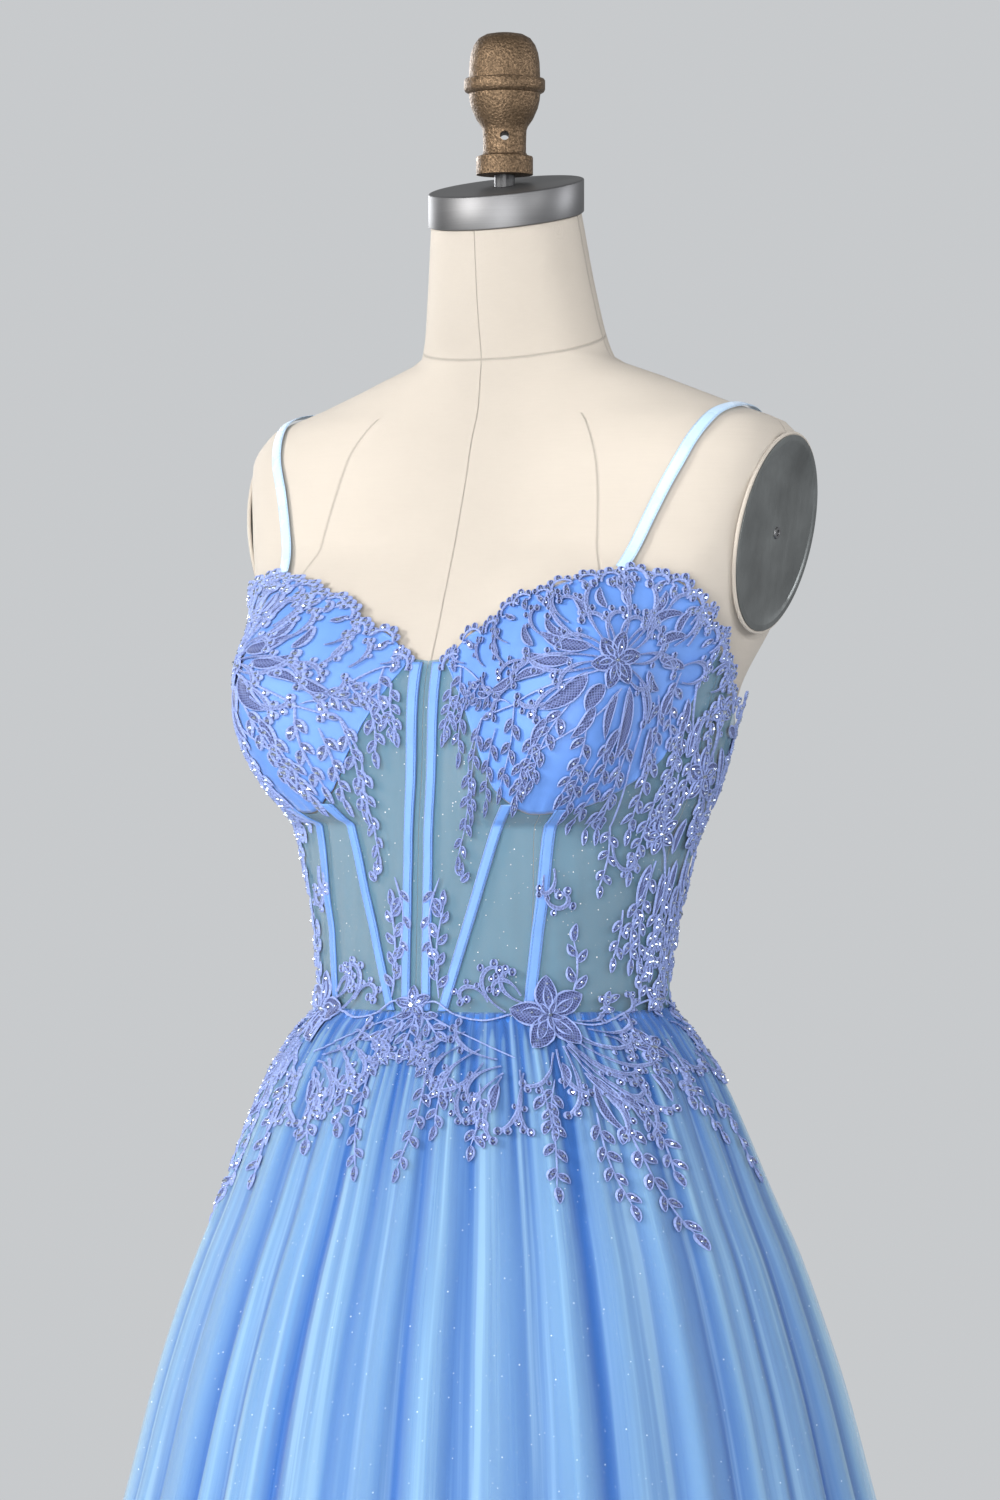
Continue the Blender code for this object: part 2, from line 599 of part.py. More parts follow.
def fold_columns(folds, start, end, seed):
    """Angles of a half skirt's columns, and how deep each sinks into its fold, from 0 to 1."""
    widths = [1.0 + 0.30 * math.sin(1.9 * k + seed) + 0.15 * math.sin(4.3 * k + 2 * seed)
              for k in range(folds)]
    scale = (end - start) / sum(widths)
    columns, angle = [], start
    for k, width in enumerate(widths):
        ridge = 0.12 * (1.0 + math.sin(2.7 * k + seed))
        valley = 1.0 if k == 0 else 0.84 + 0.16 * math.sin(3.7 * k + seed)
        for step in range(COLUMNS_PER_FOLD):
            turn = math.tau * step / COLUMNS_PER_FOLD
            deep = 0.5 + 0.5 * math.cos(turn)
            columns.append((angle + width * scale * step / COLUMNS_PER_FOLD,
                            ridge + (valley - ridge) * deep))
        angle += width * scale
    columns.append((end, 1.0))
    return columns


def tulle_wall(z):
    share = (z - HEM_Z) / (WAIST_Z - HEM_Z)
    return TULLE_HEM_WALL + (TULLE_TOP_WALL - TULLE_HEM_WALL) * share


def skirt_piece(name, columns, inset, fold_share, hem_rise, collection, colour):
    """Half of a gathered skirt layer: a wall whose folds deepen towards the hem."""
    def place(inner):
        def at(column, row):
            index = round(column)
            angle, deep = columns[index]
            z = SKIRT_RINGS[-1 - round(row)]
            if z == HEM_Z:
                z += hem_rise
            edge = {0: 1.0, len(columns) - 1: -1.0}.get(index, 0.0)
            sink = inset(z) + fold_share * skirt_at["fold"](z) * deep + inner * tulle_wall(z)
            point = on_skirt(angle, z, -sink)
            return point + outward(angle + math.pi / 2) * edge * SEAM / 2
        return at
    bm = flat_grid(len(columns) - 1, len(SKIRT_RINGS) - 1)
    sewn_wall(name, bm, place(1.0), place(0.0), collection, colour)


def skirt(collection):
    """Gathered tulle over a smoother lining, each in a front and a back half."""
    def lining_inset(z):
        return skirt_at["fold"](z) + tulle_wall(z) + LINING_GAP

    halves = (("front", -math.pi / 2, math.pi / 2, 0.6), ("back", math.pi / 2, 1.5 * math.pi, 2.1))
    for half, start, end, seed in halves:
        skirt_piece("tulle_" + half, fold_columns(HALF_FOLDS, start, end, seed),
                    lambda z: 0.0, 1.0, 0.0, collection, "tulle")
        skirt_piece("lining_" + half, fold_columns(LINING_HALF_FOLDS, start, end, seed),
                    lining_inset, LINING_FOLD_SHARE, LINING_HEM_RISE, collection, "lining")


def flower(row, sign, surface, lift, collection, name, columns=28, rings=3):
    """Lobed lace flower, laid on a surface and raised by the thickness of its cords."""
    reach = math.hypot(*surface(math.radians(row.angle), row.z, 0.0).xy)

    def place(height):
        def at(x, y):
            turn, radius = math.atan2(y, x), math.hypot(x, y)
            lobe = 1.0 - row.notch * (0.5 - 0.5 * math.cos(row.lobes * (turn - math.pi / 2)))
            aside = x * lobe * row.half_width / reach
            z = row.z + y * lobe * row.half_height
            raised = height + (LACE_CROWN * (1.0 - radius) if height > lift else 0.0)
            return surface(sign * (math.radians(row.angle) + aside), z, raised)
        return at
    sewn_wall(name, flat_disc(columns, rings), place(lift), place(lift + LACE), collection, "lace")


def spray(row, sign, surface, collection, name):
    """Spray of leaves along a stem that narrows to its tip."""
    rows = 2 * row.leaves
    start, end = math.radians(row.angle), math.radians(row.end_angle)
    reach = math.hypot(*surface(start, row.z, 0.0).xy)
    run = Vector(((end - start) * reach, row.end_z - row.z))
    aside = Vector((-run.y, run.x)).normalized()

    def place(height):
        def at(across, along):
            t = along / rows
            leaf = 1.0 if round(along) % 2 else 0.35
            half = row.half_width * leaf * (1.0 - 0.75 * t * t) * (across - 1.0)
            bend = 0.10 * math.sin(math.pi * t) * run.length
            flat = run * t + aside * (half + bend)
            return surface(sign * (start + flat.x / reach), row.z + flat.y, height)
        return at
    sewn_wall(name, flat_grid(2, rows), place(row.lift), place(row.lift + LACE), collection,
              "lace")


def lace(collection):
    """Raised lace: flowers on the cups, sides and waist, and sprays over bodice and skirt."""
    for row, side, sign in sides((CUP_FLOWER, SIDE_FLOWER)):
        flower(row, sign, on_form, CUP_LACE_LIFT, collection, row.name + "_" + side)
    for row, side, sign in sides((WAIST_FLOWER, WAIST_SCROLL, WAIST_SIDE_FLOWER)):
        flower(row, sign, on_skin, LACE_CLEAR, collection, row.name + "_" + side, 20, 2)
    flower(CENTRE_FLOWER, 1, on_skin, LACE_CLEAR, collection, CENTRE_FLOWER.name, 15, 1)
    for row, side, sign in sides(BODICE_SPRAYS):
        spray(row, sign, on_form, collection, row.name + "_" + side)
    for row, side, sign in sides(SKIRT_SPRAYS):
        spray(row, sign, on_skin, collection, row.name + "_" + side)


def main():
    for old in list(bpy.data.objects):
        bpy.data.objects.remove(old, do_unlink=True)
    collection = bpy.data.collections.new("prom_dress")
    cutters = bpy.data.collections.new("cutters")
    bpy.context.scene.collection.children.link(collection)
    bpy.context.scene.collection.children.link(cutters)
    stand(collection)
    dress_form(collection)
    arm_plates(collection)
    neck_hardware(collection, cutters)
    bodice(collection)
    casings(collection)
    straps(collection)
    skirt(collection)
    lace(collection)


main()
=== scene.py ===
"""Prom dress on a limbless dress form: the form's cover and metal parts, the boned net
bodice with its moulded cups, the tulle skirt over a lining, and the beaded lace on them."""

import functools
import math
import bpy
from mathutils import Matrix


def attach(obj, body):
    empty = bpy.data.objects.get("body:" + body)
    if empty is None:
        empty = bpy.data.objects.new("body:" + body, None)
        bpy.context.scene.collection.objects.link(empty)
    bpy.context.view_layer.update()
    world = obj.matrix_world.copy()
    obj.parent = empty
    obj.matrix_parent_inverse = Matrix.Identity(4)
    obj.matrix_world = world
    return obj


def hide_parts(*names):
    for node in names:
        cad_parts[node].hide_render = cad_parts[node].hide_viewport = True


bl_info = {
    "name": "Prom dress on a dress form",
    "version": (1, 0, 0),
    "blender": (4, 5, 0),
    "location": "View3D > Sidebar > Prom dress",
    "description": "Builds the cloth, lace and metal of a prom dress on a dress form",
    "category": "Object",
}

from collections import namedtuple

import bmesh
import bpy
import numpy as np
from mathutils import Matrix, Vector

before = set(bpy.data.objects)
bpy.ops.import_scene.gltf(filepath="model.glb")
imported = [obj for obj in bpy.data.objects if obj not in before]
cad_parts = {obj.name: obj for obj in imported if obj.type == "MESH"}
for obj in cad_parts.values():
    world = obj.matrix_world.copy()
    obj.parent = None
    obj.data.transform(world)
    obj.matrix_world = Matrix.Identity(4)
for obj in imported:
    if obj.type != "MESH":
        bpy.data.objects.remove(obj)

# The sizes that the solids were drawn from, in metres. Angles are in degrees, from the
# centre front towards the wearer's left, where they aren't turned into radians.
WAIST_Z = 1.0870
HEM_Z = 0.012
SEAM = 0.0003
PANEL_TOP_LIFT = 0.0020
FORM_EASE = 0.0016
CUP_BUST, FORM_BUST = 0.048, 0.042
BUST_ANGLE, BUST_SPREAD = math.radians(43.0), math.radians(14.0)
BUST_Z, BUST_BELOW, BUST_ABOVE = 1.275, 0.072, 0.100
STEP = 4.1
CUP_FROM, CUP_TO = 2 * STEP, 20 * STEP
PRINCESS_SEAM, SIDE_SEAM = 10 * STEP, 21 * STEP
NECK_TILT, NECK_TILT_FROM, NECK_TOP = math.tan(math.radians(13.5)), 1.500, 1.5840
CAP_HALF_WIDTH, CAP_HALF_DEPTH, CAP_HEIGHT = 0.051, 0.0435, 0.0215
NECK_CENTRE_Y = 0.008
FINIAL_Y, FINIAL_BASE_Z = 0.006, 1.6125
FINIAL_HOLE_Z, FINIAL_HOLE_TURN, FINIAL_HOLE_RADIUS = 1.6362, math.radians(29.0), 0.0029
PLATE_CENTRE = Vector((0.175, 0.036, 1.384))
PLATE_DOWN = Vector((-0.010, -0.0145, -0.0600))
PLATE_HALF_DEPTH, PLATE_THICKNESS, PLATE_CUT_FROM_Z = 0.050, 0.0025, 1.27
STRAP_FRONT, STRAP_BACK = math.radians(53.5), math.radians(142.0)
STRAP_CREST = Vector((0.1560, 0.0150, 1.4620))
STRAP_BEHIND = Vector((0.1330, 0.0850, 1.4200))
LINING_HEM_RISE, LINING_GAP, LINING_FOLD_SHARE = 0.006, 0.0006, 0.5
TULLE_TOP_WALL, TULLE_HEM_WALL = 0.0012, 0.0020
CASING_FOLD, CASING_TURNING = 1.0 / 7.0, 0.0018

FORM = np.array((
    (0.760, 0.150, 0.105, 0.115, 0.005, 2.2), (0.860, 0.172, 0.115, 0.125, 0.008, 2.2),
    (0.900, 0.175, 0.118, 0.130, 0.010, 2.2), (0.980, 0.162, 0.112, 0.118, 0.004, 2.2),
    (1.040, 0.136, 0.103, 0.105, -0.003, 2.1), (1.087, 0.112, 0.097, 0.095, -0.008, 2.0),
    (1.133, 0.115, 0.098, 0.096, -0.006, 2.0), (1.157, 0.119, 0.098, 0.098, -0.005, 2.1),
    (1.190, 0.127, 0.097, 0.102, -0.005, 2.1), (1.230, 0.141, 0.098, 0.107, 0.000, 2.2),
    (1.286, 0.150, 0.102, 0.124, 0.008, 2.3), (1.330, 0.165, 0.096, 0.120, 0.018, 2.8),
    (1.384, 0.181, 0.087, 0.105, 0.030, 3.4), (1.430, 0.188, 0.078, 0.085, 0.036, 3.4),
    (1.452, 0.180, 0.070, 0.065, 0.036, 2.8), (1.467, 0.144, 0.061, 0.056, 0.032, 2.2),
    (1.484, 0.100, 0.055, 0.052, 0.028, 2.0), (1.498, 0.066, 0.049, 0.051, 0.023, 2.0),
    (1.533, 0.058, 0.047, 0.047, 0.016, 2.0), (1.584, 0.051, 0.043, 0.043, 0.008, 2.0)))
SKIRT = np.array((
    (0.012, 0.462, 0.452, 0.000, 0.024), (0.400, 0.348, 0.335, 0.000, 0.019),
    (0.785, 0.240, 0.226, -0.001, 0.012), (0.850, 0.223, 0.208, -0.002, 0.0105),
    (0.900, 0.207, 0.191, -0.003, 0.009), (0.935, 0.194, 0.178, -0.003, 0.008),
    (0.965, 0.181, 0.165, -0.004, 0.007), (1.010, 0.163, 0.146, -0.006, 0.005),
    (1.045, 0.147, 0.129, -0.007, 0.003), (1.068, 0.1315, 0.1160, -0.008, 0.0018),
    (1.087, 0.1180, 0.1030, -0.008, 0.0007)))
NECKLINE = np.array((
    (0.0, 1.3035), (8.0, 1.306), (14.0, 1.318), (23.0, 1.329), (29.0, 1.343), (37.0, 1.348),
    (46.0, 1.356), (56.0, 1.359), (65.5, 1.350), (74.6, 1.3275), (82.4, 1.312), (93.0, 1.293),
    (108.0, 1.266), (140.0, 1.255), (180.0, 1.250)))
UNDER_CUP = np.array((
    (8.2, 1.3020), (11.3, 1.2930), (17.3, 1.271), (22.0, 1.2485), (28.0, 1.223),
    (39.6, 1.209), (52.0, 1.214), (64.0, 1.230), (70.0, 1.240), (74.0, 1.254),
    (78.0, 1.278), (82.0, 1.308)))
FINIAL = ((0.0000, 0.0898), (0.0070, 0.0896), (0.0120, 0.0887), (0.0165, 0.0862),
          (0.0195, 0.0820), (0.0213, 0.0770), (0.0222, 0.0710), (0.0226, 0.0610),
          (0.0250, 0.0606), (0.0257, 0.0596), (0.0257, 0.0540), (0.0250, 0.0526),
          (0.0226, 0.0512), (0.0222, 0.0470), (0.0210, 0.0420), (0.0180, 0.0352),
          (0.0148, 0.0306), (0.0139, 0.0280), (0.0136, 0.0200), (0.0136, 0.0140),
          (0.0146, 0.0124), (0.0176, 0.0115), (0.0180, 0.0105), (0.0180, 0.0000),
          (0.0000, 0.0000))

CasingRow = namedtuple("CasingRow", "name top_angle top_z foot_angle foot_z width")
CASINGS = (
    CasingRow("placket_casing", 4.0, 1.3030, 4.1, 1.0880, 0.0072),
    CasingRow("diagonal_casing", 31.5, 1.2150, 10.6, 1.0880, 0.0072),
    CasingRow("side_casing", 46.0, 1.2120, 41.0, 1.0880, 0.0080),
)

# The form's cover: its sewn seams and half their widths, and where they run
COVER_BOTTOM = 0.760
COVER_SEAMS = (("neck_seam", 0.0011), ("princess_seam", 0.0010), ("shoulder_seam", 0.0011))
NECK_SEAM_Z, NECK_SEAM_Y, NECK_SEAM_RISE = 1.507, 0.02, 0.30
PRINCESS_TURN, PRINCESS_SWAY, PRINCESS_SEAM_TOP = 40.0, 10.0, 1.46
SHOULDER_SEAM_Y, SHOULDER_SEAM_FROM = 0.004, 1.40
COVER_PER_DEGREE = 0.0023

# Metal of the arm ends, and the cover's rolled edge round it
SCREW_FOOT, SCREW_TOP, SCREW_HEIGHT = 0.0042, 0.0036, 0.0022
BINDING_RADIUS, BINDING_LIFT, BINDING_SPREAD = 0.0013, 0.0008, 1.012

# Cloth: seam gaps, the boning tapes and straps, and the folds and gathers of the layers
BODICE_RADIUS, CUP_GAP, PANEL_SINK = 0.12, 0.0002, 0.0002
TAPE_WALL, TAPE_LIFT, TAPE_FOLD_LIFT, TAPE_DOME = 0.00025, 0.0027, 0.0022, 0.0009
STRAP_WALL, STRAP_LIFT = 0.0002, 0.0012
MAIN_FOLDS, LINING_FOLDS = 16, 5
GATHER_DEPTH, WAIST_PINCH, WAIST_PINCH_FROM = 0.0014, 0.0024, 1.073
TULLE_GAP, LINING_EASE, HALF_GAP = 0.0012, 0.0008, 0.0012

# Lengths of cloth for each radian round the dress, for the cloth's own coordinates
BODICE_CLOTH, SKIRT_CLOTH = 0.13, 0.25

# How far the lace stands off the form, more over the waist seam, and off the skirt
LACE_LIFT, LACE_SEAM_LIFT, LACE_SEAM_TOP = 0.0033, 0.0020, 1.102
LACE_SKIRT_LIFT, LACE_SINK_SHARE = 0.0006, 0.85

# Heights of the lace's thread: its tucked edge, a cord's crest and inner side, the filling
THREAD_EDGE, THREAD_CREST, THREAD_INSIDE, THREAD_FILLING = -0.0003, 0.0012, 0.0009, 0.0004
THREAD_LAYERS = ("relief", "across", "along")
STONE_SIDES, STONE_SEAT = 7, 0.0011
LACE_PART_POINTS = 3000
PROBE_ANGLE, PROBE_RISE = 0.01, 0.003

# Near-white colour of the glitter flakes, painted on them as glints
GLITTER_GLINT_COLOUR = (0.95, 0.98, 1.0)
FLOOR_RADIUS, FLOOR_Z = 5.0, -0.001
CAMERA_TURN, CAMERA_AWAY, CAMERA_Z = math.radians(29.0), 3.6, 1.2485
SENSOR_WIDTH, LENS = 36.0, 136.7
LIGHTS_AIM = Vector((0.0, 0.0, 1.15))
LightRow = namedtuple("LightRow", "name place size power colour")
LIGHTS = (
    LightRow("key_light", (-2.0, -3.0, 2.5), 1.2, 116.0, (1.0, 0.985, 0.96)),
    LightRow("front_light", (0.9, -3.6, 1.7), 2.2, 80.0, (1.0, 1.0, 1.0)),
    LightRow("left_rim_light", (-2.4, 1.4, 2.0), 1.4, 38.0, (0.97, 0.98, 1.0)),
    LightRow("right_rim_light", (2.8, 1.2, 2.1), 1.4, 40.0, (0.97, 0.98, 1.0)),
    LightRow("sparkle_light_right", (2.9, -1.9, 2.6), 0.25, 22.0, (1.0, 1.0, 1.0)),
    LightRow("sparkle_light_front", (0.5, -3.2, 3.0), 0.25, 12.0, (1.0, 1.0, 1.0)),
    LightRow("low_light", (0.6, -2.6, 0.4), 1.6, 16.0, (1.0, 1.0, 1.0)),
)


class Line:
    """A smooth curve through a table's rows, which never overshoots them."""

    def __init__(self, at, value):
        self.at, self.value = np.asarray(at, float), np.asarray(value, float)
        rises = np.diff(self.value) / np.diff(self.at)
        below, above = rises[:-1], rises[1:]
        level = below * above <= 0.0
        middle = np.where(level, 0.0, 2 * below * above / np.where(level, 1.0, below + above))
        self.slope = np.concatenate((rises[:1], middle, rises[-1:]))

    def __call__(self, x):
        x = np.clip(x, self.at[0], self.at[-1])
        i = np.clip(np.searchsorted(self.at, x) - 1, 0, len(self.at) - 2)
        span = self.at[i + 1] - self.at[i]
        t = (x - self.at[i]) / span
        return ((2 * t ** 3 - 3 * t ** 2 + 1) * self.value[i]
                + (t ** 3 - 2 * t ** 2 + t) * span * self.slope[i]
                + (3 * t ** 2 - 2 * t ** 3) * self.value[i + 1]
                + (t ** 3 - t ** 2) * span * self.slope[i + 1])


FORM_LINES = [Line(FORM[:, 0], FORM[:, k]) for k in range(1, 6)]
SKIRT_LINES = [Line(SKIRT[:, 0], SKIRT[:, k]) for k in range(1, 5)]
neckline_at = Line(NECKLINE[:, 0], NECKLINE[:, 1])
under_cup_at = Line(UNDER_CUP[:, 0], UNDER_CUP[:, 1])


def ease(low, high, x):
    """Rises smoothly from 0 at low to 1 at high."""
    t = np.clip((x - low) / (high - low), 0.0, 1.0)
    return t * t * (3 - 2 * t)


def outward(angle):
    """Level directions away from the middle."""
    return np.stack((np.sin(angle), -np.cos(angle), np.zeros_like(angle)), axis=-1)


def form_point(angle, z, bust=CUP_BUST):
    """Points of the form's surface, angles from the centre front towards the left."""
    half_width, front, back, centre, square = (line(z) for line in FORM_LINES)
    depth = np.where(np.cos(angle) > 0.0, front, back)
    reach = (np.abs(np.sin(angle) / half_width) ** square
             + np.abs(np.cos(angle) / depth) ** square) ** (-1.0 / square)
    above = z - BUST_Z
    low = np.maximum(0.0, 1.0 - (above / BUST_BELOW) ** 2) ** 0.8
    high = np.maximum(0.0, 1.0 - (above / BUST_ABOVE) ** 2) ** 1.2
    aside = (np.abs(np.arctan2(np.sin(angle), np.cos(angle))) - BUST_ANGLE) / BUST_SPREAD
    reach = reach + bust * np.where(above < 0.0, low, high) * np.exp(-0.5 * aside ** 2)
    point = outward(angle) * reach[..., None]
    point[..., 1] += centre
    point[..., 2] = z
    return point


def on_form(angle, z, lift):
    """Points a true distance off the form, moved out level so that seams stay apart."""
    angle, z = np.broadcast_arrays(np.asarray(angle, float), np.asarray(z, float))
    across = form_point(angle + 0.01, z) - form_point(angle - 0.01, z)
    upward = form_point(angle, z + 0.002) - form_point(angle, z - 0.002)
    normal = np.cross(across, upward)
    normal /= np.linalg.norm(normal, axis=-1, keepdims=True)
    facing = np.maximum(0.6, (normal * outward(angle)).sum(-1))
    return form_point(angle, z) + outward(angle) * (np.asarray(lift) / facing)[..., None]


def on_skirt(angle, z, lift):
    """Points off the skirt's outer surface, over the tops of its folds."""
    angle, z = np.broadcast_arrays(np.asarray(angle, float), np.asarray(z, float))
    half_width, half_depth, centre, _ = (line(z) for line in SKIRT_LINES)
    reach = 1.0 / np.hypot(np.sin(angle) / half_width, np.cos(angle) / half_depth)
    flare = (SKIRT_LINES[0](z - 0.004) - SKIRT_LINES[0](z + 0.004)) / 0.008
    point = outward(angle) * (reach + lift * np.hypot(1.0, flare))[..., None]
    point[..., 1] += centre
    point[..., 2] = z
    return point


class Folds:
    """The uneven folds all round a skirt layer, in a front and a back half."""

    def __init__(self, per_half):
        starts, ridges, valleys = [], [], []
        for start, seed in ((-math.pi / 2, 0.6), (math.pi / 2, 2.1)):
            k = np.arange(per_half)
            widths = 1.0 + 0.30 * np.sin(1.9 * k + seed) + 0.15 * np.sin(4.3 * k + 2 * seed)
            before = np.concatenate(([0.0], np.cumsum(widths)[:-1]))
            valley = 0.84 + 0.16 * np.sin(3.7 * k + seed)
            valley[0] = 1.0
            starts.append(start + math.pi * before / widths.sum())
            ridges.append(0.12 * (1.0 + np.sin(2.7 * k + seed)))
            valleys.append(valley)
        self.start = np.concatenate(starts + [[1.5 * math.pi]])
        self.ridge = np.concatenate(ridges)
        self.valley = np.concatenate(valleys + [[1.0]])

    def __call__(self, angle):
        """How deep the cloth sinks, from 0 over a ridge to 1 in the deepest valley."""
        angle = (angle + math.pi / 2) % math.tau - math.pi / 2
        i = np.clip(np.searchsorted(self.start, angle, side="right") - 1, 0, len(self.ridge) - 1)
        t = (angle - self.start[i]) / (self.start[i + 1] - self.start[i])
        valley = self.valley[i] + (self.valley[i + 1] - self.valley[i]) * t
        lean = 0.10 * np.sin(2.3 * i + 0.4)
        turned = t + lean * np.sin(math.tau * t) / 2
        return self.ridge[i] + (valley - self.ridge[i]) * (0.5 + 0.5 * np.cos(math.tau * turned))


main_folds, lining_folds = Folds(MAIN_FOLDS), Folds(LINING_FOLDS)


def skirt_fold(z):
    """How deep the skirt's folds are at a height."""
    return SKIRT_LINES[3](z)


def outer_sink(angle, z):
    """How far the outer tulle lies inside the skirt's outer surface: main folds that wander
    on their way down, fine ones over them, and the gathers under the waist seam."""
    down = (WAIST_Z - z) / (WAIST_Z - HEM_Z)
    wander = down * (0.034 * np.sin(2 * angle + 0.7) + 0.016 * np.sin(5 * angle + 2.0))
    wander = wander + 0.010 * np.sin(3 * angle + 5.0 * down)
    main = main_folds(angle + wander)
    course = 58 * (angle + wander) + 1.9 * np.sin(5 * angle) + 1.1 * np.sin(6 * down)
    fine = 0.5 + 0.5 * np.sin(course)
    share = 0.26 * ease(0.0, 0.05, down) * (0.55 + 0.45 * np.sin(4 * angle + 1.0 + 7 * down))
    deep = main * (1.0 - share) + fine * share
    gather = 0.5 + 0.5 * np.sin(122 * angle + 3.0 * np.sin(7 * angle) + 1.5 * np.sin(3 * angle))
    puff = GATHER_DEPTH * gather * (1.0 - ease(0.02, 0.14, down))
    pinch = WAIST_PINCH * ease(WAIST_PINCH_FROM, WAIST_Z, z)
    return skirt_fold(z) * deep + puff + pinch


def inner_sink(angle, z):
    """How far the under tulle lies inside: finer folds, always under the outer one."""
    down = (WAIST_Z - z) / (WAIST_Z - HEM_Z)
    shifted = angle + 0.05 + 0.03 * np.sin(4 * angle + 3 * down)
    fine = 0.5 + 0.5 * np.sin(44 * shifted + 2 * np.sin(3 * angle))
    own = skirt_fold(z) * (0.30 + 0.72 * (0.55 * main_folds(shifted) + 0.45 * fine))
    return np.maximum(own, outer_sink(angle, z) + TULLE_GAP)


def lining_sink(angle, z):
    """How far the lining lies inside, as its solid does."""
    share = (z - HEM_Z) / (WAIST_Z - HEM_Z)
    wall = TULLE_HEM_WALL + (TULLE_TOP_WALL - TULLE_HEM_WALL) * share
    folded = skirt_fold(z) * (1.0 + LINING_FOLD_SHARE * lining_folds(angle))
    return folded + wall + LINING_GAP + LINING_EASE


def on_skin(angle, z, lift):
    """Points off the outermost cloth, where the lace is sewn down."""
    over_seam = LACE_SEAM_LIFT * (1.0 - ease(WAIST_Z, LACE_SEAM_TOP, z))
    bodice = on_form(angle, np.maximum(z, WAIST_Z), LACE_LIFT + over_seam + lift)
    below = np.minimum(z, WAIST_Z)
    sunk = LACE_SINK_SHARE * outer_sink(angle, below)
    skirt = on_skirt(angle, below, lift + LACE_SKIRT_LIFT - sunk)
    return np.where((z > WAIST_Z)[..., None], bodice, skirt)


def between(a, b, c, d, t):
    """The point a share t from b to c on the smooth curve through a, b, c and d."""
    return 0.5 * (2 * b + (c - a) * t + (2 * a - 5 * b + 4 * c - d) * t * t
                  + (3 * b - a - 3 * c + d) * t ** 3)


# ---------------------------------------------------------------- making pieces

def pattern(columns, rows):
    """Flat pattern whose points run from 0 to 1 each way."""
    bm = bmesh.new()
    bmesh.ops.create_grid(bm, x_segments=columns, y_segments=rows, size=0.5)
    bmesh.ops.translate(bm, vec=(0.5, 0.5, 0.0), verts=bm.verts)
    return bm


def turned_to_mesh(bm, name):
    mesh = bpy.data.meshes.new(name)
    bm.to_mesh(mesh)
    bm.free()
    return mesh


def points_of(mesh):
    """The mesh's points, a row of x, y and z for each."""
    flat = np.empty(len(mesh.vertices) * 3, np.float32)
    mesh.vertices.foreach_get("co", flat)
    return flat.reshape(-1, 3).astype(float)


def move_points(mesh, points):
    mesh.vertices.foreach_set("co", points.astype(np.float32).ravel())
    mesh.update()


def point_attribute(mesh, name, values):
    attribute = mesh.attributes.new(name, "FLOAT", "POINT")
    attribute.data.foreach_set("value", values.astype(np.float32))


def closed_up(mesh, distance):
    """A bmesh of a laid mesh whose meeting edges are joined and whose faces point outwards."""
    bm = bmesh.new()
    bm.from_mesh(mesh)
    bmesh.ops.remove_doubles(bm, verts=bm.verts, dist=distance)
    bmesh.ops.recalc_face_normals(bm, faces=bm.faces)
    return bm


def standing(name, mesh, material, nodes):
    """The piece's object, on the root body, in place of its solids."""
    piece = bpy.data.objects.new(name, mesh)
    bpy.context.scene.collection.objects.link(piece)
    mesh.materials.append(material)
    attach(piece, "root")
    if nodes:
        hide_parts(*nodes)
    return piece


def finished(name, bm, material, nodes, smooth=40.0):
    """A piece that is smooth apart from its edges sharper than so many degrees."""
    mesh = turned_to_mesh(bm, name)
    mesh.shade_smooth()
    mesh.set_sharp_from_angle(angle=math.radians(smooth))
    return standing(name, mesh, material, nodes)


def placed(name, bm, place):
    """Mesh of a flat pattern laid on a surface. place takes the pattern's points and gives
    the real points and the cloth's own coordinates in metres, which become its UV map."""
    mesh = turned_to_mesh(bm, name)
    flat = points_of(mesh)
    points, cloth = place(flat[:, 0], flat[:, 1])
    uv = mesh.uv_layers.new(name="cloth")
    corner = np.empty(len(mesh.loops), np.int32)
    mesh.loops.foreach_get("vertex_index", corner)
    uv.data.foreach_set("uv", cloth[corner].astype(np.float32).ravel())
    move_points(mesh, points)
    mesh.shade_smooth()
    return mesh


def cloth_piece(name, columns, rows, place, thickness, material, nodes,
                tube=False, depth=None):
    """A thin cloth shell laid on a surface. Net and tulle are left a single surface, because their
    threads stand far apart. depth gives how deep in a fold each point lies."""
    mesh = placed(name, pattern(columns, rows), place)
    points = points_of(mesh)
    if depth is not None:
        middle = SKIRT_LINES[2](points[:, 2])
        angle = np.arctan2(points[:, 0], middle - points[:, 1])
        point_attribute(mesh, "fold", depth(angle, points[:, 2]))
    if tube:
        bm = closed_up(mesh, 1e-6)
        bm.to_mesh(mesh)
        bm.free()
        mesh.shade_smooth()
    piece = standing(name, mesh, material, nodes)
    if thickness:
        wall = piece.modifiers.new("thickness", "SOLIDIFY")
        wall.thickness, wall.offset, wall.use_even_offset = thickness, -1.0, False
    return piece


# ---------------------------------------------------------------- materials

def effect_group(name, inputs, outputs):
    """A shader node group with named float or vector inputs and float outputs."""
    group = bpy.data.node_groups.new(name, "ShaderNodeTree")
    for label, value in inputs:
        kind = "NodeSocketVector" if value is None else "NodeSocketFloat"
        socket = group.interface.new_socket(label, in_out="INPUT", socket_type=kind)
        if value is not None:
            socket.default_value = value
    for label in outputs:
        group.interface.new_socket(label, in_out="OUTPUT", socket_type="NodeSocketFloat")
    return group, group.nodes.new("NodeGroupInput"), group.nodes.new("NodeGroupOutput")


def math_node(tree, operation, a, b=None, clamp=False):
    """One step of arithmetic, with numbers or sockets."""
    node = tree.nodes.new("ShaderNodeMath")
    node.operation, node.use_clamp = operation, clamp
    for socket, value in zip(node.inputs, (a, b)):
        if value is None:
            continue
        if isinstance(value, (int, float)):
            socket.default_value = value
        else:
            tree.links.new(value, socket)
    return node.outputs[0]


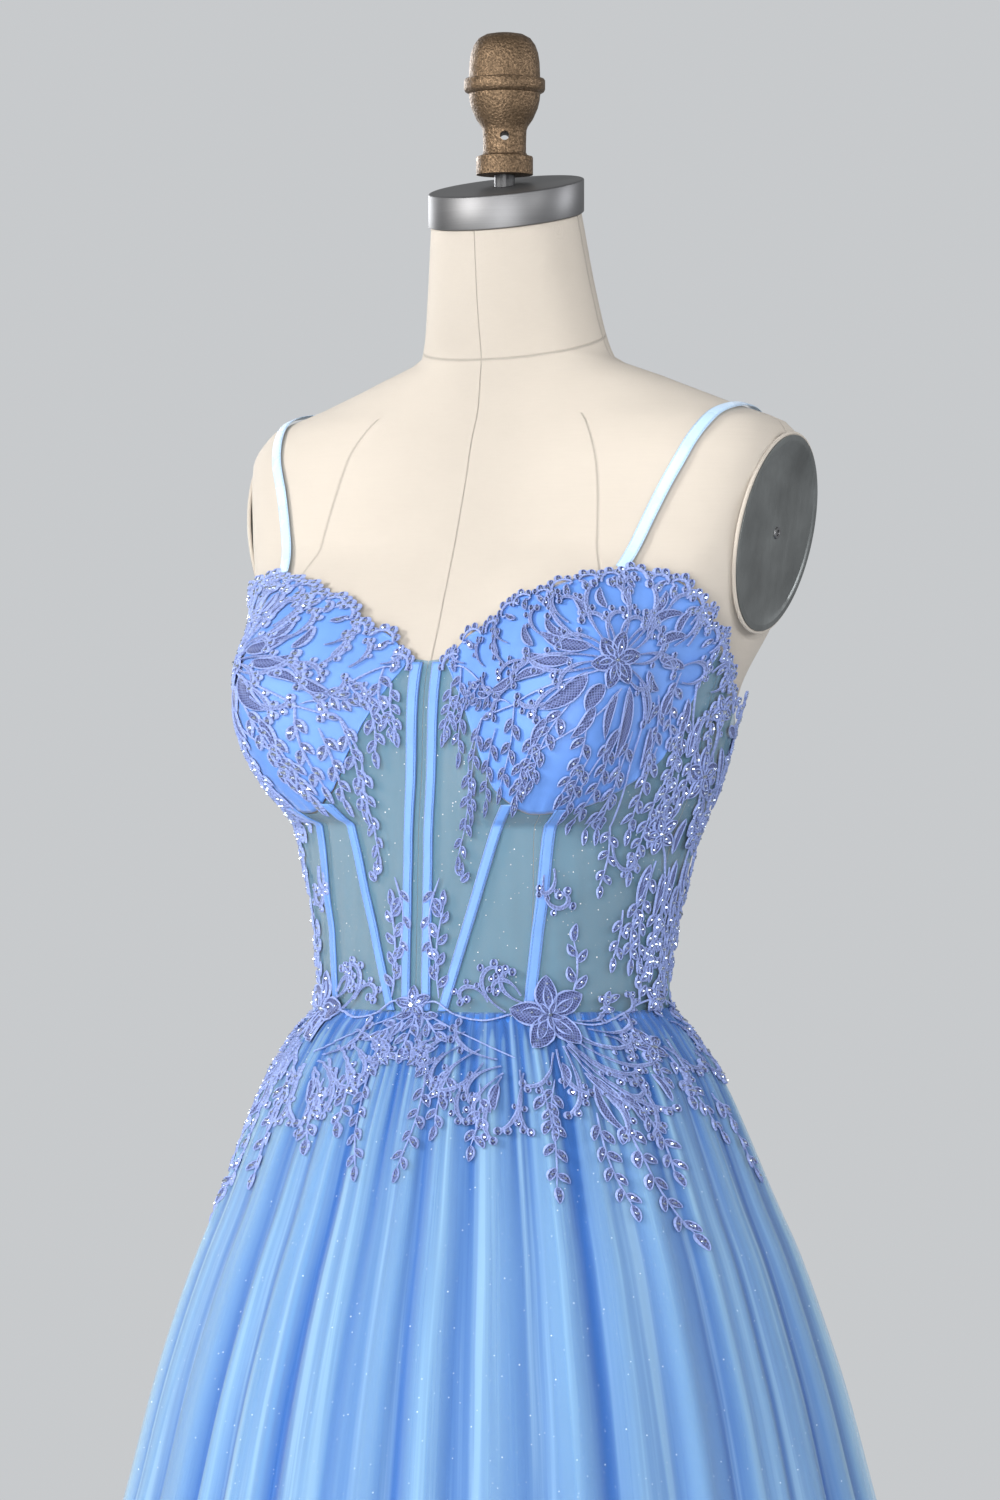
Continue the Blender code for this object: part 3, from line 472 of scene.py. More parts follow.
def weave_effect():
    """Crossed threads: the height of the weave, and its shade between the threads."""
    tree, give, take = effect_group("crossed_threads", (("Vector", None), ("Threads", 1500.0)),
                                    ("Height", "Shade"))
    scale = math_node(tree, "MULTIPLY", give.outputs["Threads"], 0.16)
    bands = []
    for direction in ("X", "Y"):
        wave = tree.nodes.new("ShaderNodeTexWave")
        wave.bands_direction = direction
        wave.inputs["Distortion"].default_value = 0.6
        wave.inputs["Detail"].default_value = 1.0
        wave.inputs["Detail Scale"].default_value = 0.3
        tree.links.new(give.outputs["Vector"], wave.inputs["Vector"])
        tree.links.new(scale, wave.inputs["Scale"])
        bands.append(wave.outputs["Fac"])
    tree.links.new(math_node(tree, "ADD", *bands), take.inputs["Height"])
    tree.links.new(math_node(tree, "MULTIPLY", *bands), take.inputs["Shade"])


def mottle_effect():
    """Slow uneven change over a surface, from 0 to 1."""
    tree, give, take = effect_group(
        "mottle", (("Vector", None), ("Scale", 20.0), ("Contrast", 1.0)), ("Shade",))
    noise = tree.nodes.new("ShaderNodeTexNoise")
    noise.inputs["Detail"].default_value = 4.0
    tree.links.new(give.outputs["Vector"], noise.inputs["Vector"])
    tree.links.new(give.outputs["Scale"], noise.inputs["Scale"])
    middle = math_node(tree, "SUBTRACT", noise.outputs["Fac"], 0.5)
    spread = math_node(tree, "MULTIPLY", middle, give.outputs["Contrast"])
    tree.links.new(math_node(tree, "ADD", spread, 0.5, clamp=True), take.inputs["Shade"])


def glitter_effect():
    """Scattered specks of glitter as a mask, each of its own brightness, with which the flakes are
    painted as glints.
    """
    tree, give, take = effect_group(
        "glitter", (("Vector", None), ("Scale", 260.0), ("Size", 0.14), ("Rarity", 0.6)),
        ("Mask",))
    cells = tree.nodes.new("ShaderNodeTexVoronoi")
    tree.links.new(give.outputs["Vector"], cells.inputs["Vector"])
    tree.links.new(give.outputs["Scale"], cells.inputs["Scale"])
    near = math_node(tree, "LESS_THAN", cells.outputs["Distance"], give.outputs["Size"])
    colour = tree.nodes.new("ShaderNodeSeparateColor")
    tree.links.new(cells.outputs["Color"], colour.inputs[0])
    rare = math_node(tree, "GREATER_THAN", colour.outputs["Red"], give.outputs["Rarity"])
    speck = math_node(tree, "MULTIPLY", near, rare)
    bright = math_node(tree, "MULTIPLY", speck, colour.outputs["Green"])
    tree.links.new(bright, take.inputs["Mask"])


def line_effect():
    """A narrow line at one value of a coordinate: 1 on the line, 0 off it."""
    tree, give, take = effect_group(
        "fine_line", (("Value", 0.0), ("At", 0.0), ("Width", 0.001)), ("Mask",))
    off = math_node(tree, "SUBTRACT", give.outputs["Value"], give.outputs["At"])
    share = math_node(tree, "DIVIDE", math_node(tree, "ABSOLUTE", off), give.outputs["Width"])
    tree.links.new(math_node(tree, "SUBTRACT", 1.0, share, clamp=True), take.inputs["Mask"])


class Finish:
    """A material around one Principled shader, wired up step by step."""

    def __init__(self, name, colour, roughness, metallic=0.0, **plain):
        self.material = bpy.data.materials.new(name)
        self.material.use_nodes = True
        self.tree = self.material.node_tree
        self.shader = self.tree.nodes["Principled BSDF"]
        self.set("Base Color", (*colour, 1.0))
        self.set("Roughness", roughness)
        self.set("Metallic", metallic)
        for label, value in plain.items():
            self.set(label.replace("_", " ").title().replace("Ior", "IOR"), value)
        self.height = None

    def set(self, label, value):
        self.shader.inputs[label].default_value = value

    def feed(self, label, value):
        """Feeds one of the shader's sockets with a value that changes over the surface."""
        self.tree.links.new(value, self.shader.inputs[label])

    def node(self, kind, **values):
        node = self.tree.nodes.new(kind)
        for label, value in values.items():
            node.inputs[label].default_value = value
        return node

    def place(self, source="Object"):
        """Object coordinates, or the cloth's own UV map."""
        if source == "cloth":
            node = self.node("ShaderNodeUVMap")
            node.uv_map = "cloth"
            return node.outputs["UV"]
        return self.node("ShaderNodeTexCoord").outputs["Object"]

    def cloth_axis(self, axis):
        """One coordinate of the cloth's own UV map."""
        split = self.node("ShaderNodeSeparateXYZ")
        self.tree.links.new(self.place("cloth"), split.inputs[0])
        return split.outputs[axis]

    def attribute(self, name):
        node = self.node("ShaderNodeAttribute")
        node.attribute_name = name
        return node.outputs["Fac"]

    def effect(self, group, source, **values):
        """One of the shared effects. What it gives is taken from its outputs by name."""
        node = self.tree.nodes.new("ShaderNodeGroup")
        node.node_tree = bpy.data.node_groups[group]
        for label, value in values.items():
            node.inputs[label].default_value = value
        self.tree.links.new(source, node.inputs[0])
        return node.outputs

    def weave(self, threads):
        return self.effect("crossed_threads", self.place("cloth"), Threads=threads)

    def mottle(self, scale, contrast, source="Object"):
        """Slow uneven change. A scale of three numbers stretches it along the axes."""
        place = self.place(source)
        if isinstance(scale, tuple):
            mapping = self.node("ShaderNodeMapping", Scale=scale)
            self.tree.links.new(place, mapping.inputs["Vector"])
            place, scale = mapping.outputs["Vector"], 1.0
        return self.effect("mottle", place, Scale=scale, Contrast=contrast)["Shade"]

    def line(self, value, width, at=0.0):
        """A narrow line where a value is so much."""
        return self.effect("fine_line", value, At=at, Width=width)["Mask"]

    def blend(self, mask, first, second):
        """Colour that goes from first to second with a mask. Each is a colour or a socket."""
        mix = self.tree.nodes.new("ShaderNodeMix")
        mix.data_type = "RGBA"
        self.tree.links.new(mask, mix.inputs["Factor"])
        for value, socket in ((first, mix.inputs["A"]), (second, mix.inputs["B"])):
            if isinstance(value, tuple):
                socket.default_value = (*value, 1.0)
            else:
                self.tree.links.new(value, socket)
        return mix.outputs["Result"]

    def span(self, value, low, high, first=0.0, last=1.0):
        """A value from first to last spread between low and high."""
        node = self.node("ShaderNodeMapRange", **{"From Min": first, "From Max": last,
                                                  "To Min": low, "To Max": high})
        self.tree.links.new(value, node.inputs["Value"])
        return node.outputs["Result"]

    def math(self, operation, a, b=None, clamp=False):
        return math_node(self.tree, operation, a, b, clamp)

    def raised(self, height, depth):
        """Adds a height pattern to the bump, its depth in metres."""
        bump = self.node("ShaderNodeBump", Strength=1.0, Distance=depth)
        self.tree.links.new(height, bump.inputs["Height"])
        if self.height is not None:
            self.tree.links.new(self.height, bump.inputs["Normal"])
        self.height = bump.outputs["Normal"]
        self.feed("Normal", self.height)


def shade(colour, factor):
    """A colour made darker or lighter."""
    return tuple(min(1.0, part * factor) for part in colour)


def linen_finish(colours):
    """Stretched cream linen of the form, with its sewn seams."""
    cream = tuple(colours.form_cover)
    finish = Finish("cream_linen", cream, 0.85, sheen_weight=0.15, sheen_roughness=0.6)
    tone = finish.blend(finish.mottle(14.0, 1.4), shade(cream, 0.93), shade(cream, 1.03))
    slub = finish.span(finish.mottle((60.0, 900.0, 1.0), 1.2, "cloth"), 0.0, 0.16)
    tone = finish.blend(slub, tone, shade(cream, 0.72))
    seams = finish.line(finish.cloth_axis("X"), 0.0011)
    for name, width in COVER_SEAMS:
        seams = finish.math("MAXIMUM", seams, finish.line(finish.attribute(name), width))
    tone = finish.blend(finish.math("MULTIPLY", seams, 0.55), tone, shade(cream, 0.55))
    finish.feed("Base Color", tone)
    finish.raised(finish.weave(9000.0)["Height"], 0.00006)
    finish.raised(finish.math("MULTIPLY", seams, -1.0), 0.0006)
    return finish.material


def steel_finish(colours):
    """Brushed steel cap, the brushing running round it, with broad lighter and darker bands up its
    side painted on as reflections.
    """
    steel = tuple(colours.steel)
    finish = Finish("brushed_steel", steel, 0.50, 1.0)
    hair = finish.mottle((6.0, 6.0, 1400.0), 1.1)
    # Painted reflections: broad lighter and darker bands standing up round the side of the cap
    cloud = finish.mottle((16.0, 16.0, 3.0), 1.4)
    tone = finish.blend(cloud, shade(steel, 0.80), shade(steel, 1.15))
    finish.feed("Base Color", finish.blend(hair, shade(steel, 0.80), tone))
    finish.feed("Roughness", finish.span(hair, 0.47, 0.53))
    finish.raised(hair, 0.000008)
    return finish.material


def bronze_finish(colours):
    """Cast bronze with a gritty skin, darker in broad uneven patches."""
    bronze = tuple(colours.bronze)
    finish = Finish("antique_bronze", bronze, 0.46, 0.85)
    grit, cast = finish.mottle(650.0, 2.6), finish.mottle(90.0, 2.2)
    tone = finish.blend(grit, shade(bronze, 0.50), shade(bronze, 1.55))
    tone = finish.blend(finish.span(cast, 0.0, 0.5), tone, shade(bronze, 0.55))
    finish.feed("Base Color", tone)
    finish.feed("Roughness", finish.span(grit, 0.58, 0.34))
    finish.raised(grit, 0.00035)
    finish.raised(cast, 0.0005)
    return finish.material


def plate_finish(colours):
    """Dark grey metal of the arm plates, faintly brushed and scuffed."""
    grey = tuple(colours.plate)
    finish = Finish("dark_plate", grey, 0.36, 0.75)
    hair, cloud = finish.mottle((20.0, 500.0, 30.0), 1.5), finish.mottle(26.0, 1.8)
    finish.feed("Base Color", finish.blend(cloud, shade(grey, 0.75), shade(grey, 1.5)))
    finish.feed("Roughness", finish.span(hair, 0.28, 0.46))
    finish.raised(hair, 0.00004)
    return finish.material


def painted_finish(colours):
    """Satin black paint of the stand, with a fine orange-peel skin."""
    black = tuple(colours.stand)
    finish = Finish("satin_black_paint", black, 0.42, 0.1, coat_weight=0.2)
    peel, dust = finish.mottle(420.0, 1.5), finish.mottle(9.0, 1.8)
    finish.feed("Base Color", finish.blend(dust, black, shade(black, 1.7)))
    finish.feed("Roughness", finish.span(dust, 0.36, 0.55))
    finish.raised(peel, 0.00006)
    return finish.material


def net_finish(name, colour, alpha, glitter, speck, threads, deep=None):
    """Sheer net: see-through cloth with its fine mesh and scattered glitter, whose flakes are
    painted pale as glints. Gathered tulle gets painted shade in its folds and is less see-through
    there, and painted highlights in pale random bands, also less see-through, for where it doubles
    over and catches the light."""
    finish = Finish(name, colour, 0.62, sheen_weight=0.3, sheen_roughness=0.45)
    finish.set("Alpha", alpha)
    weave = finish.weave(threads)
    cloud = finish.mottle((30.0, 4.0, 1.0), 1.6, "cloth")
    # Painted glints: the glitter flakes are drawn near white, each of random brightness, and more
    # opaque
    glitter_glints = finish.effect("glitter", finish.place(), Scale=glitter, Size=speck,
                           Rarity=0.80)["Mask"]
    tone = finish.blend(cloud, shade(colour, 0.88), shade(colour, 1.12))
    clear = finish.span(weave["Shade"], alpha - 0.05, alpha + 0.05)
    if deep:
        # Painted shade: towards the bottoms of the folds the tulle darkens to its fold colour, and
        # it is drawn less see-through there
        low = finish.span(finish.attribute("fold"), 0.0, 1.0, 0.15, 0.95)
        tone = finish.blend(low, tone, deep)
        # Painted highlights: pale random bands down the tulle, for where it doubles over and
        # catches the light; the tulle is also drawn less see-through in them
        highlight_streaks = finish.math("POWER", finish.mottle((75.0, 1.3, 1.0), 4.0, "cloth"), 3.0)
        tone = finish.blend(finish.math("MULTIPLY", highlight_streaks, 0.30), tone, shade(colour, 1.7))
        closer = finish.math("ADD", finish.math("MULTIPLY", low, 0.22),
                             finish.math("MULTIPLY", highlight_streaks, 0.14))
        clear = finish.math("ADD", clear, closer, clamp=True)
    finish.feed("Base Color", finish.blend(glitter_glints, tone, GLITTER_GLINT_COLOUR))
    finish.feed("Alpha", finish.math("MAXIMUM", clear, glitter_glints))
    finish.raised(weave["Height"], 0.00005)
    return finish.material


def satin_finish(name, colour, roughness, sheen, threads, stitched=0.0):
    """Satin cloth: fine threads, a soft gloss, and sewing along its edges where asked."""
    finish = Finish(name, colour, roughness, sheen_weight=sheen, sheen_roughness=0.35)
    cloud = finish.mottle(45.0, 1.6)
    tone = finish.blend(cloud, shade(colour, 0.90), shade(colour, 1.10))
    if stitched:
        row = finish.line(finish.math("ABSOLUTE", finish.cloth_axis("X")), 0.00045, stitched)
        dash = finish.math("SINE", finish.math("MULTIPLY", finish.cloth_axis("Y"), 2600.0))
        sewn = finish.math("MULTIPLY", row, finish.math("GREATER_THAN", dash, -0.3))
        tone = finish.blend(finish.math("MULTIPLY", sewn, 0.5), tone, shade(colour, 0.55))
        finish.raised(finish.math("MULTIPLY", row, -1.0), 0.0004)
    finish.feed("Base Color", tone)
    finish.feed("Roughness", finish.span(cloud, roughness - 0.06, roughness + 0.08))
    finish.raised(finish.weave(threads)["Height"], 0.00003)
    return finish.material


def lace_finish(colours):
    """Embroidery thread: pale raised cords of slanting stitches, and a dark stitched lattice for
    the filling between them. The colour follows the thread's height: painted highlights on the
    raised cords and their stitch ridges, painted shade in the low filling and the holes of its
    lattice."""
    pale, dark = tuple(colours.lace), tuple(colours.lace_painted_shade)
    finish = Finish("embroidery_thread", pale, 0.52, sheen_weight=0.08, sheen_roughness=0.35,
                    specular_ior_level=0.30)
    relief, across, along = (finish.attribute(name) for name in THREAD_LAYERS)
    slant = finish.math("ADD", along, finish.math("MULTIPLY", across, 0.5))
    wave = finish.math("SINE", finish.math("MULTIPLY", slant, 7400.0))
    stitch = finish.span(wave, 0.42, 0.58)
    waves = [finish.math("SINE", finish.math("MULTIPLY", finish.math(way, along, across), 2700.0))
             for way in ("ADD", "SUBTRACT")]
    lattice = finish.math("MULTIPLY", finish.math("MAXIMUM", *waves), 1.0, clamp=True)
    fuzz = finish.mottle(500.0, 2.2)
    worn = finish.span(fuzz, 0.0, 0.35)
    # Painted light: the low filling and the holes of its lattice are painted darker as shade, and
    # the raised cords lighter, with painted highlights on their stitch ridges
    fill = finish.blend(lattice, shade(dark, 0.5), shade(pale, 0.60))
    fill = finish.blend(worn, fill, shade(dark, 0.9))
    cord = finish.blend(stitch, shade(pale, 0.62), shade(pale, 1.55))
    cord = finish.blend(worn, cord, shade(pale, 1.8))
    finish.feed("Base Color", finish.blend(relief, fill, cord))
    finish.raised(lattice, 0.0003)
    finish.raised(stitch, 0.0008)
    finish.raised(fuzz, 0.0003)
    return finish.material


def gem_finish(colours):
    """Cut glass stones, foiled behind: hard bright facets."""
    glass = tuple(colours.gem)
    finish = Finish("foiled_glass", glass, 0.10, 0.92, coat_weight=1.0, coat_roughness=0.02)
    facets = finish.mottle(900.0, 3.0)
    finish.feed("Base Color", finish.blend(facets, shade(glass, 0.45), shade(glass, 1.25)))
    finish.feed("Roughness", finish.span(facets, 0.06, 0.22))
    return finish.material


# ---------------------------------------------------------------- user settings

def colour_property(name, description, default):
    return bpy.props.FloatVectorProperty(name=name, description=description, default=default,
                                         size=3, min=0.0, max=1.0, subtype="COLOR")


def length_property(name, description, default):
    return bpy.props.FloatProperty(name=name, description=description, default=default,
                                   min=0.0, soft_max=0.05, precision=4, unit="LENGTH",
                                   subtype="DISTANCE")


class PromDressColours(bpy.types.PropertyGroup):
    """Base colours of the dress and its form"""
    form_cover: colour_property("Form cover", "Cream linen of the dress form",
                                (0.63, 0.565, 0.488))
    steel: colour_property("Steel", "Brushed cap on the neck", (0.215, 0.215, 0.22))
    bronze: colour_property("Bronze", "Cast finial on the cap", (0.165, 0.110, 0.066))
    plate: colour_property("Arm plates", "Metal plates at the arm ends", (0.17, 0.18, 0.18))
    stand: colour_property("Stand", "Pole and base", (0.03, 0.03, 0.032))
    tulle: colour_property("Outer tulle", "Top layer of the skirt", (0.42, 0.71, 0.93))
    under_tulle: colour_property("Under tulle", "Lower layer of the skirt", (0.08, 0.32, 0.80))
    # Colour of the painted shade at the bottoms of the tulle's folds
    painted_fold_shade_tulle: colour_property("Tulle in folds", "Tulle at the bottom of a fold",
                                (0.030, 0.165, 0.56))
    lining: colour_property("Lining", "Opaque layer under the tulle", (0.045, 0.21, 0.68))
    cup: colour_property("Cups", "Moulded cups", (0.120, 0.275, 0.70))
    net: colour_property("Bodice net", "Sheer panels of the bodice", (0.085, 0.27, 0.42))
    casing: colour_property("Boning casings", "Satin tapes over the bones", (0.135, 0.295, 0.70))
    strap: colour_property("Straps", "Satin shoulder straps", (0.50, 0.70, 0.98))
    lace: colour_property("Lace cords", "Raised thread of the lace", (0.27, 0.345, 0.77))
    # Dark colour of the lace's low filling and its lattice holes, painted as shade
    lace_painted_shade: colour_property("Lace filling", "Flat thread of the lace", (0.022, 0.036, 0.19))
    gem: colour_property("Stones", "Foiled glass stones on the lace", (0.60, 0.68, 0.88))


class PromDressSizes(bpy.types.PropertyGroup):
    """Sizes that a maker would change"""
    strap_width: length_property("Strap width", "Width of the shoulder straps", 0.008)
    strap_thickness: length_property("Strap thickness", "Thickness of the shoulder straps", 0.0010)
    cup_thickness: length_property("Cup thickness", "Wall of the moulded cups", 0.0011)
    lining_thickness: length_property("Lining thickness", "Wall of the lining", 0.0008)
    cord_radius: length_property("Lace cord", "Half the width of a lace cord", 0.00058)
    gem_radius: length_property("Stone radius", "Half the width of a stone", 0.00140)
    fold_columns: bpy.props.IntProperty(
        name="Tulle columns", description="Faces across each half of the outer tulle",
        default=480, min=120, max=640)


# ---------------------------------------------------------------- the dress form

def plate_axes(sign):
    """Half axes of an arm plate, downwards and backwards, and its outward normal."""
    down = Vector((PLATE_DOWN.x * sign, PLATE_DOWN.y, PLATE_DOWN.z))
    back = Vector((0.0, 1.0, 0.0))
    back -= down.normalized() * back.dot(down.normalized())
    normal = back.cross(down).normalized()
    if normal.x * sign < 0.0:
        normal.negate()
    return down, back.normalized() * PLATE_HALF_DEPTH, normal


def plate_centre(sign):
    """Middle of the left arm plate, or of the right one for a sign of -1."""
    return Vector((PLATE_CENTRE.x * sign, PLATE_CENTRE.y, PLATE_CENTRE.z))


def plate_top(bm):
    """The large upper face of a plate that is being made."""
    return [f for f in bm.faces if len(f.verts) > 4 and f.calc_center_median().z > 0.5]


class PROMDRESS_OT_form(bpy.types.Operator):
    """Cover the dress form: a smooth sewn linen torso and neck, cut flat at the arms"""
    bl_idname = "promdress.form"
    bl_label = "Dress form cover"

    columns: bpy.props.IntProperty(name="Columns", description="Faces round the form",
                                   default=176, min=48, max=320)
    rows: bpy.props.IntProperty(name="Rows", description="Faces from the hips to the neck",
                                default=190, min=60, max=320)

    def execute(self, context):
        colours = context.scene.prom_dress_colours

        def place(x, y):
            angle, z = math.tau * x, COVER_BOTTOM + (NECK_TOP - COVER_BOTTOM) * y
            point = form_point(angle, z, FORM_BUST) - outward(angle) * FORM_EASE
            lean = np.clip((z - NECK_TILT_FROM) / (NECK_TOP - NECK_TILT_FROM), 0.0, 1.0)
            point[:, 2] += lean * NECK_TILT * (point[:, 1] - FORM_LINES[3](z))
            half_turn = (angle + math.pi) % math.tau - math.pi
            return point, np.stack((half_turn * BODICE_CLOTH, z), axis=1)

        bm = closed_up(placed("form_cover", pattern(self.columns, self.rows), place), 1e-5)
        bmesh.ops.holes_fill(bm, edges=[edge for edge in bm.edges if edge.is_boundary], sides=0)
        for sign in (1, -1):
            near = {f for f in bm.faces if PLATE_CUT_FROM_Z < f.calc_center_median().z < 1.5}
            for face in list(near):
                near.update(face.edges, face.verts)
            cut = bmesh.ops.bisect_plane(bm, geom=list(near), plane_co=plate_centre(sign),
                                         plane_no=plate_axes(sign)[2], clear_outer=True,
                                         dist=1e-6)
            rim = [part for part in cut["geom_cut"] if isinstance(part, bmesh.types.BMEdge)]
            bmesh.ops.edgeloop_fill(bm, edges=rim)
        bmesh.ops.recalc_face_normals(bm, faces=bm.faces)
        cover = finished("form_cover", bm, linen_finish(colours), ("form_torso",))
        x, y, z = points_of(cover.data).T
        behind = y - FORM_LINES[3](z)
        turn = np.degrees(np.abs(np.arctan2(x, -behind)))
        princess = turn - (PRINCESS_TURN + PRINCESS_SWAY * np.sin((z - 1.10) * 5.0))
        from_seams = (z - NECK_SEAM_Z - NECK_SEAM_RISE * (y - NECK_SEAM_Y),
                      np.where(z < PRINCESS_SEAM_TOP, princess * COVER_PER_DEGREE, 1.0),
                      np.where(z > SHOULDER_SEAM_FROM, behind - SHOULDER_SEAM_Y, 1.0))
        for (name, _), away in zip(COVER_SEAMS, from_seams):
            point_attribute(cover.data, name, away)
        return {"FINISHED"}


class PROMDRESS_OT_plates(bpy.types.Operator):
    """Close the arm ends: rimmed oval metal plates with a screw, and the cover's rolled edge"""
    bl_idname = "promdress.plates"
    bl_label = "Arm plates"

    def execute(self, context):
        colours = context.scene.prom_dress_colours
        metal, linen = plate_finish(colours), bpy.data.materials["cream_linen"]
        steel = bpy.data.materials["brushed_steel"]
        for side, sign in (("left", 1), ("right", -1)):
            down, back, normal = plate_axes(sign)
            centre = plate_centre(sign)
            bm = bmesh.new()
            bmesh.ops.create_circle(bm, cap_ends=True, segments=96, radius=1.0)
            lift = bmesh.ops.extrude_face_region(bm, geom=bm.faces[:], use_keep_orig=True)
            top = [v for v in lift["geom"] if isinstance(v, bmesh.types.BMVert)]
            bmesh.ops.translate(bm, vec=(0.0, 0.0, 1.0), verts=top)
            for border in (0.06, 0.03):
                bmesh.ops.inset_region(bm, faces=plate_top(bm), thickness=border, depth=0.0)
            sunk = {v for f in plate_top(bm) for v in f.verts}
            bmesh.ops.translate(bm, vec=(0.0, 0.0, -0.30), verts=list(sunk))
            rims = [e for e in bm.edges if e.calc_face_angle(0.0) > 0.6 and e.verts[0].co.z > 0.9]
            bmesh.ops.bevel(bm, geom=rims, offset=0.02, affect="EDGES", segments=2, profile=0.5,
                            material=-1)
            for vert in bm.verts:
                out = SEAM + vert.co.z * PLATE_THICKNESS
                vert.co = centre + back * vert.co.x + down * vert.co.y + normal * out
            bmesh.ops.recalc_face_normals(bm, faces=bm.faces)
            finished("arm_plate_metal_" + side, bm, metal, ("arm_plate_" + side,), 25.0)

            bm = bmesh.new()
            turn = normal.to_track_quat("Z", "Y").to_matrix().to_4x4()
            seat = Matrix.Translation(centre + normal * (PLATE_THICKNESS * 0.75)) @ turn
            bmesh.ops.create_cone(bm, cap_ends=True, segments=24, radius1=SCREW_FOOT,
                                  radius2=SCREW_TOP, depth=SCREW_HEIGHT, matrix=seat)
            for border, depth in ((0.0016, 0.0), (0.0002, -0.0009)):
                head = [f for f in bm.faces if len(f.verts) > 4 and f.normal.dot(normal) > 0.9]
                bmesh.ops.inset_region(bm, faces=head, thickness=border, depth=depth)
            finished("arm_screw_" + side, bm, steel, (), 25.0)

            axes = [np.array(part) for part in (centre, back, down, normal)]

            def ring(x, y, axes=axes):
                centre, back, down, normal = axes
                turn, roll = math.tau * x[:, None], math.tau * y[:, None]
                radial = np.cos(turn) * back + np.sin(turn) * down
                line = centre + radial * BINDING_SPREAD + normal * BINDING_LIFT
                away = radial / np.linalg.norm(radial, axis=1, keepdims=True)
                point = line + BINDING_RADIUS * (np.cos(roll) * away + np.sin(roll) * normal)
                return point, np.stack((x * 0.35, y * 0.008), axis=1)
            bm = closed_up(placed("arm_binding_" + side, pattern(96, 8), ring), 1e-6)
            binding = finished("arm_binding_" + side, bm, linen, ())
            for name, _ in COVER_SEAMS:
                point_attribute(binding.data, name, np.ones(len(binding.data.vertices)))
        return {"FINISHED"}


class PROMDRESS_OT_neck(bpy.types.Operator):
    """Make the neck's metal: the brushed cap, the spindle and the cast finial with its pin hole"""
    bl_idname = "promdress.neck"
    bl_label = "Neck cap and finial"

    def execute(self, context):
        colours = context.scene.prom_dress_colours
        bm = bmesh.new()
        bmesh.ops.create_cone(bm, cap_ends=True, segments=128, radius1=1.0, radius2=1.0, depth=1.0)
        rims = [edge for edge in bm.edges if abs(edge.verts[0].co.z - edge.verts[1].co.z) < 1e-6]
        bmesh.ops.bevel(bm, geom=rims, offset=0.045, affect="EDGES", segments=4, profile=0.5,
                        material=-1)
        top = [f for f in bm.faces if len(f.verts) > 4 and f.calc_center_median().z > 0.4]
        bmesh.ops.inset_region(bm, faces=top, thickness=0.05, depth=0.0)
        for vert in bm.verts:
            y = NECK_CENTRE_Y + vert.co.y * CAP_HALF_DEPTH
            z = NECK_TOP + NECK_TILT * (y - NECK_CENTRE_Y) + SEAM + (vert.co.z + 0.5) * CAP_HEIGHT
            vert.co = (vert.co.x * CAP_HALF_WIDTH, y, z)
        bmesh.ops.recalc_face_normals(bm, faces=bm.faces)
        finished("neck_cap_steel", bm, steel_finish(colours), ("neck_cap",), 30.0)

        bm = bmesh.new()
        verts = [bm.verts.new((radius, 0.0, z)) for radius, z in FINIAL]
        edges = [bm.edges.new(pair) for pair in zip(verts, verts[1:])]
        bmesh.ops.spin(bm, geom=verts + edges, cent=(0, 0, 0), axis=(0, 0, 1), dvec=(0, 0, 0),
                       angle=math.tau, steps=72, use_merge=True, use_duplicate=False)
        bmesh.ops.remove_doubles(bm, verts=bm.verts, dist=1e-6)
        bmesh.ops.recalc_face_normals(bm, faces=bm.faces)
        bmesh.ops.translate(bm, vec=(0.0, FINIAL_Y, FINIAL_BASE_Z), verts=bm.verts)
        finial = finished("finial_bronze", bm, bronze_finish(colours), ("finial",), 40.0)
        drilled(finial)
        paint = painted_finish(colours)
        for name in ("finial_spindle", "stand_pole", "stand_socket", "stand_base"):
            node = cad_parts[name]
            node.data.materials.clear()
            node.data.materials.append(paint)
        return {"FINISHED"}


def drilled(finial):
    """Drills the finial's pin hole right through."""
    bm = bmesh.new()
    turn = Matrix.Rotation(FINIAL_HOLE_TURN, 4, "Z") @ Matrix.Rotation(math.pi / 2, 4, "X")
    place = Matrix.Translation((0.0, FINIAL_Y, FINIAL_HOLE_Z)) @ turn
    bmesh.ops.create_cone(bm, cap_ends=True, segments=32, radius1=FINIAL_HOLE_RADIUS,
                          radius2=FINIAL_HOLE_RADIUS, depth=0.06, matrix=place)
    drill = bpy.data.objects.new("drill", turned_to_mesh(bm, "drill"))
    bpy.context.scene.collection.objects.link(drill)
    cut = finial.modifiers.new("pin_hole", "BOOLEAN")
    cut.operation, cut.object, cut.solver = "DIFFERENCE", drill, "EXACT"
    bpy.context.view_layer.update()
    drilled_through = finial.evaluated_get(bpy.context.evaluated_depsgraph_get())
    cast = bpy.data.meshes.new_from_object(drilled_through)
    finial.modifiers.clear()
    finial.data = cast
    bpy.data.objects.remove(drill)


# ---------------------------------------------------------------- the bodice

def panel_place(sign, low_angle, high_angle, bottom, top, lift):
    """Lays a bodice piece between two angles and two lines."""
    inset = math.degrees(SEAM / 2 / BODICE_RADIUS)

    def place(x, y):
        share = x if sign > 0 else 1 - x
        degrees = (low_angle + inset) + (high_angle - low_angle - 2 * inset) * share
        low, high = bottom(degrees), top(degrees)
        z = low + (high - low) * y
        angle = sign * np.radians(degrees)
        cloth = np.stack((angle * BODICE_CLOTH, z), axis=1)
        return on_form(angle, z, lift(degrees, y)), cloth
    return place


def panel_top(degrees):
    """Top of a panel: under the cup where there is one, else the neckline."""
    under = under_cup_at(degrees) - CUP_GAP
    return np.where((degrees >= CUP_FROM) & (degrees <= CUP_TO), under, neckline_at(degrees))


def waist_line(degrees):
    """Foot of a panel, just under the waist seam."""
    return np.full_like(degrees, WAIST_Z - 2 * SEAM)


def cup_bottom(degrees):
    """Lower edge of a cup, a seam's gap over the panel."""
    return under_cup_at(degrees) + CUP_GAP


